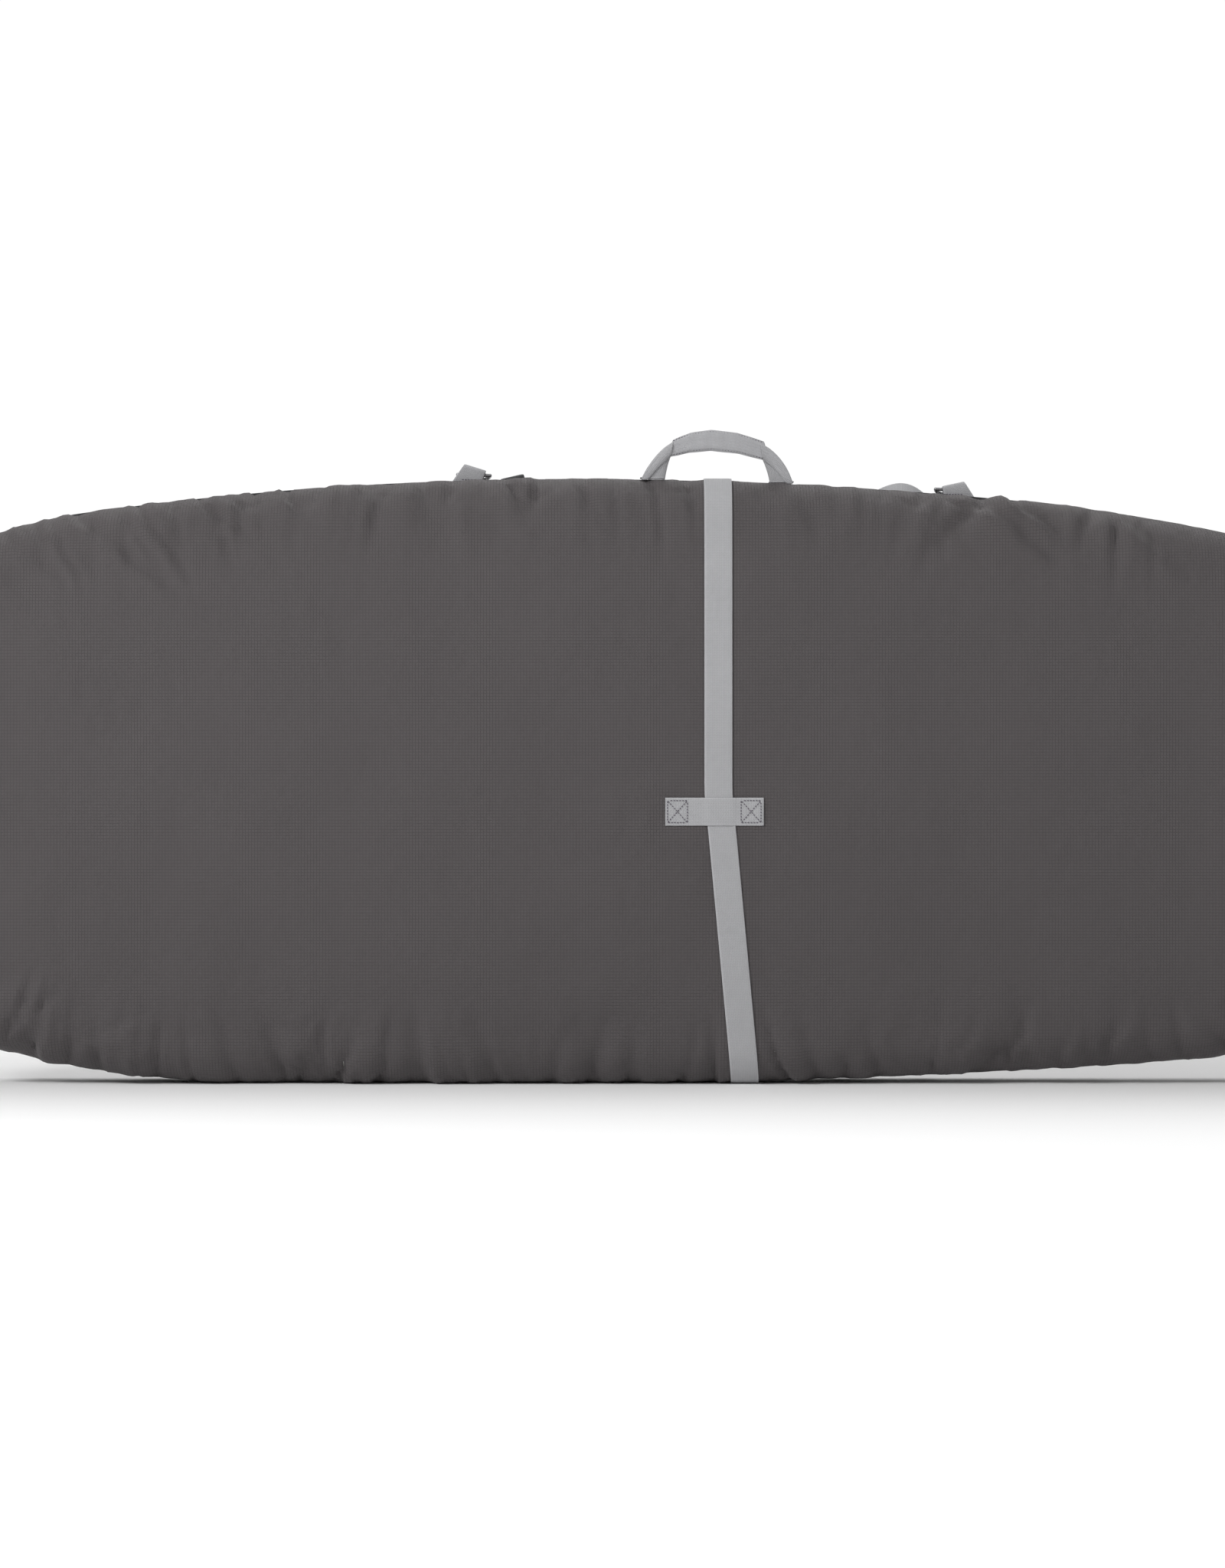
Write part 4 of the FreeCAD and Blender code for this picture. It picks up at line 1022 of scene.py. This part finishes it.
class BAG_OT_zip(bpy.types.Operator):
    """Makes the tape and coil of the zip and the tapes over the raw edges"""

    bl_idname = "board_bag.zip"
    bl_label = "Zip and edge tapes"

    def execute(self, context):
        run = zip_run()
        crest, foot = outline_runs()
        length = sum(piece_lengths(run))
        inner = values("bag_shell").padding_setback
        teeth = int(length / 0.0028)
        for half, side in (("front", FRONT), ("back", BACK)):
            body = half + "_shell"
            coil = edge_strip(half + "_coil", run, teeth * 4, side * 0.0003, side * 0.0044, 0.0014,
                              0.0017, look("Coil plastic"), 4, 0.0010)
            placed(coil, body, "zip_coil", half + "_zip_coil")
            tape = edge_strip(half + "_tape", run, 500, side * 0.0044, side * 0.0165, 0.0012, 0.0006,
                              look("Zip tape"))
            placed(tape, body, "zip_tape", half + "_zip_tape")
            nodes = (half + "_binding",)
            for kind, reach, depth, thickness in (("_edge_tape", 0.010, 0.0085, 0.0007),
                                                  ("_edge_lip", -0.0005, 0.0012, 0.0080)):
                for line, end in ((crest, ""), (foot, "_low")):
                    strip = edge_strip(half + kind + end, line, 260, side * (inner - 0.0012),
                                       side * (inner + reach), depth, thickness,
                                       look("Binding tape"))
                    placed(strip, body, "binding_tape", *nodes)
                    nodes = ()
        return {"FINISHED"}


# ---------------------------------------------------------------- centre strap and keeper
def strap_path(side, z_from, z_to, crest_wrap, foot_wrap):
    """Centre points and outward normals of the strap on one face, from the crest down."""
    w = values("bag_webbing")
    lift = w.lift + w.thickness / 2 + 0.0006
    inset, depth, _ = rail_profile(0.0026)
    slope = np.gradient(np.stack([inset, depth]), axis=1)
    slope /= np.linalg.norm(slope, axis=0)
    points, normals = [], []
    x_top = w.strap_top_x
    top, low_x = crest_z(x_top), strap_middle(0.02)
    if crest_wrap:
        for d, y, (a, b) in zip(inset, depth, slope.T):
            points.append((x_top, side * (y + lift * a), top - d + lift * b))
            normals.append((0, side * a, b))
    begin = top - inset[-1] if crest_wrap else z_from
    end = foot_z(low_x) + inset[-1] if foot_wrap else z_to
    for z in np.linspace(begin, end, 60)[1:-1]:
        near = min(top - z, z)
        points.append((strap_middle(z), side * (float(face_depth(near)) + lift), z))
        normals.append((0, side, 0))
    if foot_wrap:
        low = foot_z(low_x)
        for d, y, (a, b) in reversed(list(zip(inset, depth, slope.T))):
            z = low + d
            points.append((strap_middle(z), side * (y + lift * a), max(0.0010, z - lift * b)))
            normals.append((0, side * a, -b))
    return np.array(points), np.array(normals)


class BAG_OT_strap(bpy.types.Operator):
    """Makes the centre strap, front and back, and the keeper"""

    bl_idname = "board_bag.strap"
    bl_label = "Centre strap"

    def execute(self, context):
        w = values("bag_webbing")
        webbing = look("Grey webbing")
        socket_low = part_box("buckle_socket")[0]
        plug_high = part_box("buckle_plug")[1]
        for name, side, wraps, ends, body, node in (
                ("strap_front", FRONT, (True, True), (0, 0), "front_shell", "centre_strap_front"),
                ("strap_back_upper", BACK, (True, False), (0, plug_high.z - 0.011), None,
                 "centre_strap_back_upper"),
                ("strap_back_lower", BACK, (False, True), (socket_low.z + 0.011, 0), "back_shell",
                 "centre_strap_back_lower")):
            points, normals = strap_path(side, ends[0], ends[1], *wraps)
            across = np.tile((1.0, 0.0, 0.0), (len(points), 1))
            strip = ribbon(name, points, across, w.width, w.thickness, webbing, normals)
            if body:
                placed(strip, body, "grey_webbing", node)
            else:
                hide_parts(node)
                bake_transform(strip)
        self.keeper(w, webbing)
        return {"FINISHED"}

    def keeper(self, w, webbing):
        """A band sewn flat at both ends that steps up over the strap."""
        half = w.keeper_length / 2
        middle = strap_middle(w.keeper_z)
        face = float(face_depth(w.keeper_z)) + 0.0006
        xs = np.linspace(w.keeper_x - half, w.keeper_x + half, 60)
        points = []
        for x in xs:
            off = abs(x - middle) - w.width / 2 - 0.001
            step = 1 / (1 + math.exp(off / 0.0022))
            points.append((x, -(face + w.thickness * (0.5 + 1.25 * step)), w.keeper_z))
        points = np.array(points)
        across = np.tile((0.0, 0.0, 1.0), (len(points), 1))
        band = ribbon("keeper", points, across, w.width, w.thickness, webbing,
                      np.tile((0.0, -1.0, 0.0), (len(points), 1)))
        placed(band, "front_shell", "grey_webbing", "strap_keeper")
        level = -(face + w.thickness * 1.0 + 0.0002)
        rows = []
        for x in (w.keeper_x - half + 0.0165, w.keeper_x + half - 0.0175):
            rows += box_x((x, level, w.keeper_z), 0.0135, 0.0150, (1, 0, 0), (0, 0, 1), (0, -1, 0))
        placed(stitches("keeper_stitches", rows, look("Sewing thread")), "front_shell",
               "grey_webbing")


# ---------------------------------------------------------------- carry handle
def grip_station(t):
    """Middle height and half height of the grip at t from its left end to its right end."""
    centre = np.interp(t, (0, 0.2, 0.42, 0.7, 1), (0.8702, 0.8783, 0.8816, 0.8776, 0.8664))
    half = np.interp(t, (0, 0.08, 0.25, 0.5, 0.85, 1),
                     (0.0114, 0.0130, 0.0143, 0.0147, 0.0143, 0.0134))
    return float(centre), float(half)


class BAG_OT_handle(bpy.types.Operator):
    """Makes the carry handle: padded grip, two folded legs and their sewn ends"""

    bl_idname = "board_bag.handle"
    bl_label = "Carry handle"

    def execute(self, context):
        low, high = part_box("grip_sleeve")
        depth = (low.y + high.y) / 2
        left, right = low.x + 0.0015, high.x - 0.0010
        verts, uvs, stations, around = [], [], 56, 28
        for i in range(stations):
            t = i / (stations - 1)
            centre, half = grip_station(t)
            swell = 0.0044 * (1 - 0.35 * abs(2 * t - 1) ** 6) + 0.0003 * math.sin(t * 40)
            x = left + (right - left) * t
            for j in range(around):
                turn = 2 * math.pi * j / around
                up = math.sin(turn)
                body = max(0.0, 1 - abs(up) ** 3.2) ** 0.55
                lip = 0.28 if abs(up) > 0.86 else 1.0
                crease = 1 - 0.20 * bell((up + 0.05) / 0.16)
                rumpled = 1 + 0.10 * noise.noise(Vector((x * 60, up * 2, math.cos(turn) * 2)))
                y = math.copysign(swell * max(0.24, body * lip + 0.05) * crease * rumpled,
                                  math.cos(turn))
                if abs(math.cos(turn)) < 1e-6:
                    y = 0
                lean = -0.0020 * (2 * t - 1) * up
                verts.append((x + lean, depth + y, centre + half * up))
                uvs.append((half * up, x))
        grip = loft("grip", verts, uvs, stations, around, look("Grip fabric"))
        applied_smooth(grip)
        placed(grip, "carry_handle", "grip_fabric", "grip_sleeve")
        rows = []
        for place in (0.80, -0.80):
            line = [(left + (right - left) * t, depth - 0.0017,
                     grip_station(t)[0] + grip_station(t)[1] * place)
                    for t in np.linspace(0.02, 0.98, 30)]
            rows.append((line, [(0, -1, 0)] * 30))
            rows.append(([(x, 2 * depth - y, z) for x, y, z in line], [(0, 1, 0)] * 30))
        placed(stitches("grip_stitches", rows, look("Sewing thread")), "carry_handle",
               "grip_fabric")
        self.legs(depth)
        self.feet()
        return {"FINISHED"}

    def legs(self, depth):
        """Webbing that leaves the grip folded and twists towards its foot."""
        stands_for, stations, around = ("handle_webbing",), 26, 18
        for name, outer, inner in (
                ("leg_left", ((-0.0550, 0.8806), (-0.0690, 0.8710), (-0.0810, 0.8588),
                              (-0.0925, 0.8430), (-0.1010, 0.8270)),
                 ((-0.0592, 0.8602), (-0.0624, 0.8515), (-0.0645, 0.8430), (-0.0662, 0.8350),
                  (-0.0676, 0.8270))),
                ("leg_right", ((0.0625, 0.8788), (0.0770, 0.8695), (0.0895, 0.8575),
                               (0.1005, 0.8415), (0.1090, 0.8215)),
                 ((0.0668, 0.8545), (0.0702, 0.8460), (0.0728, 0.8380), (0.0748, 0.8300),
                  (0.0762, 0.8215)))):
            for ply, shift in (("front", -0.0028), ("rear", 0.0030)):
                a = curve_through([(x, 0, z) for x, z in outer], stations)
                b = curve_through([(x, 0, z) for x, z in inner], stations)
                if ply == "front":
                    narrow = np.linspace(0, 1, stations)[:, None] ** 0.9 * 0.70
                    b = b * (1 - narrow) + a * narrow
                else:
                    narrow = 0.16 + 0.10 * np.linspace(0, 1, stations)[:, None]
                    a = a * (1 - narrow) + b * narrow
                verts, uvs = [], []
                for i, (start, end) in enumerate(zip(a, b)):
                    t = i / (stations - 1)
                    width = np.linalg.norm(end - start)
                    for j in range(around):
                        k = j if j < around // 2 else around - 1 - j
                        c = k / (around // 2 - 1)
                        bow = shift * (1 - 0.5 * t) - 0.0030 * math.sin(math.pi * c) * (1 - 0.8 * t)
                        curl = -0.0016 * bell((c - 0.08) / 0.10) * math.sin(math.pi * t)
                        thick = 0.00075 * (1 if j < around // 2 else -1)
                        thick = thick * (0.3 if c in (0.0, 1.0) else 1)
                        point = start * (1 - c) + end * c
                        verts.append((point[0], depth + bow + curl - thick, point[2]))
                        uvs.append(((c - 0.5) * width, t * 0.07))
                leg = loft(f"{name}_{ply}", verts, uvs, stations, around, look("Grey webbing"))
                applied_smooth(leg)
                placed(leg, "carry_handle", "grey_webbing", *stands_for)
                stands_for = ()

    def feet(self):
        """The sewn ends under each leg, and their stitches."""
        w = values("bag_webbing")
        low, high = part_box("handle_anchors")
        rows = []
        for number, x in enumerate((low.x + 0.017, high.x - 0.017)):
            ys = np.linspace(low.y + 0.0012, high.y, 14)
            top = [crest_z(x) + 0.0015 - max(0, -y - 0.0262) * 0.1 for y in ys]
            points = [(x, y, z) for y, z in zip(ys, top)]
            strip = ribbon(f"handle_foot_{number}", points, [(1, 0, 0)] * 14, 0.034, w.thickness,
                           look("Grey webbing"), [(0, 0, 1)] * 14)
            nodes = ("handle_anchors",) if number == 0 else ()
            placed(strip, "front_shell", "grey_webbing", *nodes)
            centre = (x, (ys[3] + ys[-1]) / 2, top[6] + w.thickness / 2 + 0.0002)
            rows += box_x(centre, 0.013, 0.0075, (1, 0, 0), (0, 1, 0), (0, 0, 1))
        placed(stitches("handle_foot_stitches", rows, look("Sewing thread")), "front_shell",
               "grey_webbing")


def applied_smooth(thing, levels=1):
    """One round of subdivision, applied."""
    smooth = thing.modifiers.new("Smooth", "SUBSURF")
    smooth.levels = smooth.render_levels = levels
    applied(thing)


# ---------------------------------------------------------------- loops and shoulder strap
class BAG_OT_loops(bpy.types.Operator):
    """Makes the webbing loops that hold the rings"""

    bl_idname = "board_bag.loops"
    bl_label = "Ring loops"

    def execute(self, context):
        w = values("bag_webbing")
        for name, side in (("left", -1), ("right", 1)):
            low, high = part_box("strap_loop_" + name)
            x = (low.x + high.x) / 2
            bar_z = crest_z(x) + 0.0112
            y = 0.038
            rise_top = bar_z + (0.0098 if side < 0 else 0.0072)
            path = [(x, y - 0.0052, crest_z(x) - 0.0015), (x, y - 0.0056, bar_z - 0.004),
                    (x, y - 0.0036, rise_top - 0.0022), (x, y, rise_top),
                    (x, y + 0.0040, rise_top - 0.0030), (x, y + 0.0046, bar_z - 0.005),
                    (x, y + 0.0040, crest_z(x) + 0.0010), (x, y + 0.0100, crest_z(x) - 0.0018)]
            line = curve_through(path, 44)
            across, widths, ups = [], [], []
            lean = math.radians(17.0 if side < 0 else -12.0)
            for i, point in enumerate(line):
                rise = min(1.0, max(0.0, (point[2] - crest_z(x)) / (rise_top - crest_z(x))))
                tilt = lean * rise ** 1.5
                across.append((math.cos(tilt), 0, -math.sin(tilt)))
                widths.append(w.width * (1.10 - 0.28 * rise))
                line[i, 0] = x + side * (0.010 - 0.010 * rise) + 0.002 * rise
                ups.append((0, point[1] - y, (point[2] - bar_z) + 0.002))
            loop = ribbon("ring_loop_" + name, line, across, np.array(widths), 0.0013,
                          look("Grey webbing"), ups)
            placed(loop, "back_shell", "grey_webbing", "strap_loop_" + name)
            rows = [([(x + dx, y - 0.0062, crest_z(x) + 0.004)
                      for dx in np.linspace(-0.017, 0.017, 8)],
                     [(0, -1, 0)] * 8)]
            placed(stitches(f"ring_loop_{name}_stitches", rows, look("Sewing thread")), "back_shell",
                   "grey_webbing")
        return {"FINISHED"}


def shoulder_line():
    """Centre line of the shoulder webbing, seen from the side, from the left hook to the right."""
    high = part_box("shoulder_webbing")[1]
    ends = []
    for side in (-1, 1):
        ring = "d_ring_left" if side < 0 else "d_ring_right"
        top_x, top_z = side * 0.332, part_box(ring)[1].z - 0.0025
        spread = math.hypot(top_x, top_z - BOW_Z)
        turn = math.atan2(top_z - BOW_Z, top_x) - side * math.acos(BOW_RADIUS / spread)
        ends.append((top_x, top_z, turn))
    (lx, lz, lturn), (rx, rz, rturn) = ends
    arc = [(BOW_RADIUS * math.cos(a), BOW_Z + BOW_RADIUS * math.sin(a))
           for a in np.linspace(lturn, rturn + 2 * math.pi if rturn < lturn else rturn, 70)]
    left = [(lx + (arc[0][0] - lx) * t, lz + (arc[0][1] - lz) * t)
            for t in np.linspace(0.02, 1, 26)[:-1]]
    right = [(arc[-1][0] + (rx - arc[-1][0]) * t, arc[-1][1] + (rz - arc[-1][1]) * t)
             for t in np.linspace(0, 0.98, 26)[1:]]
    return [p for p in left + arc + right if p[1] < high.z - 0.002]


class BAG_OT_shoulder(bpy.types.Operator):
    """Makes the shoulder strap's webbing and its pad"""

    bl_idname = "board_bag.shoulder"
    bl_label = "Shoulder strap"

    def execute(self, context):
        w = values("bag_webbing")
        flat = np.array(shoulder_line())
        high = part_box("shoulder_webbing")[1]
        depths = []
        for x, z in flat:
            into = crest_z(x) - z
            drop = 0.0
            if into < 0.04:
                drop = 0.0434 - math.sqrt(max(0.0, 0.0434 ** 2 - (0.04 - into) ** 2))
            depths.append(max(0.0765, high.y - 0.0010 - drop))
        points = np.array([(x, y, z) for (x, z), y in zip(flat, depths)])
        tangent = np.gradient(points, axis=0)
        across = np.cross(tangent, np.array((0.0, 1.0, 0.0)))
        strap = ribbon("shoulder_strap", points, across, w.width, 0.0018, look("Dark webbing"),
                       np.tile((0.0, 1.0, 0.0), (len(points), 1)))
        placed(strap, "shoulder_strap", "dark_webbing", "shoulder_webbing")
        self.spare_webbing(high.y)
        self.pad()
        return {"FINISHED"}

    def spare_webbing(self, depth):
        """The folded ends of the webbing that stand above the crest beside each ring."""
        top = crest_z(-0.279)
        path = [(-0.286, depth - 0.003, top - 0.040), (-0.284, 0.066, top - 0.006),
                (-0.281, 0.056, top + 0.0055), (-0.279, 0.050, top + 0.0080),
                (-0.277, 0.048, top + 0.003), (-0.275, 0.058, top - 0.010),
                (-0.274, 0.068, top - 0.026)]
        line = curve_through(path, 40)
        tilt = [math.radians(14 * math.sin(math.pi * t)) for t in np.linspace(0, 1, 40)]
        across = [(math.cos(a), 0.15, math.sin(a)) for a in tilt]
        placed(ribbon("spare_left", line, across, 0.032, 0.0016,
                      look("Dark webbing")), "shoulder_strap", "dark_webbing")
        top = crest_z(0.262)
        path = [(0.214, 0.058, top - 0.012), (0.232, 0.055, top - 0.0020),
                (0.250, 0.052, top + 0.0045), (0.266, 0.051, top + 0.0058),
                (0.282, 0.053, top + 0.0010), (0.300, 0.058, top - 0.011)]
        line = curve_through(path, 40)
        placed(ribbon("spare_right", line, [(0.05, 0.72, 0.69)] * 40, 0.030, 0.0016,
                      look("Grey webbing")), "shoulder_strap", "dark_webbing")

    def pad(self):
        """A padded sleeve with a bound, stitched edge."""
        low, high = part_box("shoulder_pad")
        half_sweep, half_width = math.radians(34.5), 0.031
        middle, half_thick = (low.y + high.y) / 2, (high.y - low.y) / 2 - 0.0004
        verts, uvs, stations, around = [], [], 64, 32
        for i in range(stations):
            t = 2 * i / (stations - 1) - 1
            turn = -math.pi / 2 + half_sweep * t
            narrow = (1 - abs(t) ** 9 * 0.55)
            for j in range(around):
                a = 2 * math.pi * j / around
                u = math.copysign(abs(math.cos(a)) ** 0.6, math.cos(a))
                v = math.copysign(abs(math.sin(a)) ** 0.75, math.sin(a))
                edge = 1 - 0.55 * bell((abs(u) - 0.86) / 0.07) * (abs(v) > 0.05)
                reach = BOW_RADIUS + u * half_width * narrow
                y = middle + v * half_thick * edge * narrow
                verts.append((reach * math.cos(turn), y, BOW_Z + reach * math.sin(turn)))
                uvs.append((u * half_width, t * 0.14))
        pad = loft("shoulder_cushion", verts, uvs, stations, around, look("Pad fabric"))
        placed(pad, "shoulder_strap", "pad_fabric", "shoulder_pad")
        rows = []
        for reach in (BOW_RADIUS - half_width * 0.86, BOW_RADIUS + half_width * 0.86):
            turns = np.linspace(-math.pi / 2 - half_sweep * 0.94,
                                -math.pi / 2 + half_sweep * 0.94, 40)
            line = [(reach * math.cos(a), middle + half_thick * 0.46, BOW_Z + reach * math.sin(a))
                    for a in turns]
            rows.append((line, [(0, 1, 0)] * 40))
        placed(stitches("shoulder_cushion_stitches", rows, look("Sewing thread")), "shoulder_strap",
               "pad_fabric")


# ---------------------------------------------------------------- crest seam
class BAG_OT_crest(bpy.types.Operator):
    """Makes the bound seam on the crest that joins the two halves"""

    bl_idname = "board_bag.crest"
    bl_label = "Crest seam"

    def execute(self, context):
        crest, _ = outline_runs()
        rows = sample(crest[2:4], 240)
        verts, uvs, across = [], [], np.linspace(-1, 1, 11)
        for x, z, out_x, out_z, distance in rows:
            ring = [(a * 0.0055, 0.0004 + 0.0005 * a * a) for a in across]
            ring += [(y, inset + 0.0008) for y, inset in reversed(ring)]
            for y, inset in ring:
                verts.append((x - out_x * inset, y, z - out_z * inset))
                uvs.append((y, distance))
        seam = loft("crest_seam", verts, uvs, len(rows), 22, look("Ripstop fabric"))
        top = values("bag_outline").height
        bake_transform(seam)
        return {"FINISHED"}


# ---------------------------------------------------------------- stage
class BAG_OT_stage(bpy.types.Operator):
    """Makes the floor, the lights and the camera"""

    bl_idname = "board_bag.stage"
    bl_label = "Stage"

    def execute(self, context):
        studio = values("bag_studio")
        half = studio.floor_size / 2
        ticks = np.linspace(-half, half, 5)
        verts = [(x, y, 0) for y in ticks for x in ticks]
        corners = [5 * r + c for r in range(4) for c in range(4)]
        faces = [(k, k + 1, k + 6, k + 5) for k in corners]
        new_object("studio_floor", verts, faces, floor_material(), smooth=False)
        world = bpy.data.worlds.new("Studio sky")
        world.use_nodes = True
        sky = Tree(world.node_tree)
        lit = world.node_tree.nodes["Background"]
        lit.inputs["Color"].default_value = (1, 1, 1, 1)
        path = sky.node("ShaderNodeLightPath")
        sky.link(sky.spread(path.outputs["Is Camera Ray"], 0, 1, studio.sky, 1.02),
                 lit.inputs["Strength"])
        context.scene.world = world
        self.light("key", (-3.2, -2.4, 3.0), 18, 1.1)
        self.side_light((-2.2, -2.6, 2.2), 1.2, 40)
        self.light("rear", (0.3, 1.5, 3.3), 50, 1.3)
        self.light("fill", (3.4, -3.2, 1.8), 40, 0.25)
        context.scene.view_settings.view_transform = "Standard"
        camera = bpy.data.cameras.new("Camera")
        camera.sensor_width = 36.0
        camera.lens = camera.sensor_width * studio.distance / studio.frame_height
        camera.clip_end = 200
        eye = bpy.data.objects.new("Camera", camera)
        eye.location = (studio.centre_x, -studio.distance, studio.centre_z)
        eye.rotation_euler = (math.pi / 2, 0, 0)
        context.scene.collection.objects.link(eye)
        context.scene.camera = eye
        return {"FINISHED"}

    def side_light(self, place, size, power):
        """A soft panel on the tail side, so that the faces grow darker towards the nose."""
        lamp = bpy.data.lights.new("panel", "AREA")
        lamp.size, lamp.energy = size, power
        thing = bpy.data.objects.new("panel", lamp)
        thing.location = place
        aim = Vector((-0.4, 0, 0.45)) - Vector(place)
        thing.rotation_euler = aim.to_track_quat("-Z", "Y").to_euler()
        bpy.context.scene.collection.objects.link(thing)

    def light(self, name, way, spread, power):
        """An even soft light that comes from this way."""
        lamp = bpy.data.lights.new(name, "SUN")
        lamp.angle, lamp.energy = math.radians(spread), power
        thing = bpy.data.objects.new(name, lamp)
        thing.location = way
        thing.rotation_euler = (-Vector(way)).to_track_quat("-Z", "Y").to_euler()
        bpy.context.scene.collection.objects.link(thing)


class BAG_PT_maker(bpy.types.Panel):
    """Lists the steps that build the bag"""

    bl_label = "Board Bag"
    bl_idname = "BAG_PT_maker"
    bl_space_type = "VIEW_3D"
    bl_region_type = "UI"
    bl_category = "Board Bag"

    def draw(self, context):
        for operator in OPERATORS:
            self.layout.operator(operator.bl_idname)


OPERATORS = (BAG_OT_finishes, BAG_OT_shells, BAG_OT_zip, BAG_OT_strap, BAG_OT_handle, BAG_OT_loops,
             BAG_OT_shoulder, BAG_OT_crest, BAG_OT_stage)


def register():
    """Adds the groups of sizes, the operators and the panel."""
    for name, group in GROUPS:
        bpy.utils.register_class(group)
        setattr(bpy.types.Scene, name, bpy.props.PointerProperty(type=group))
    for item in OPERATORS + (BAG_PT_maker,):
        bpy.utils.register_class(item)


def unregister():
    """Takes them away again."""
    for item in reversed(OPERATORS + (BAG_PT_maker,)):
        bpy.utils.unregister_class(item)
    for name, group in reversed(GROUPS):
        delattr(bpy.types.Scene, name)
        bpy.utils.unregister_class(group)


def main():
    """Builds every piece."""
    register()
    for operator in OPERATORS:
        getattr(bpy.ops.board_bag, operator.bl_idname.split(".")[1])()


if __name__ == "__main__":
    main()
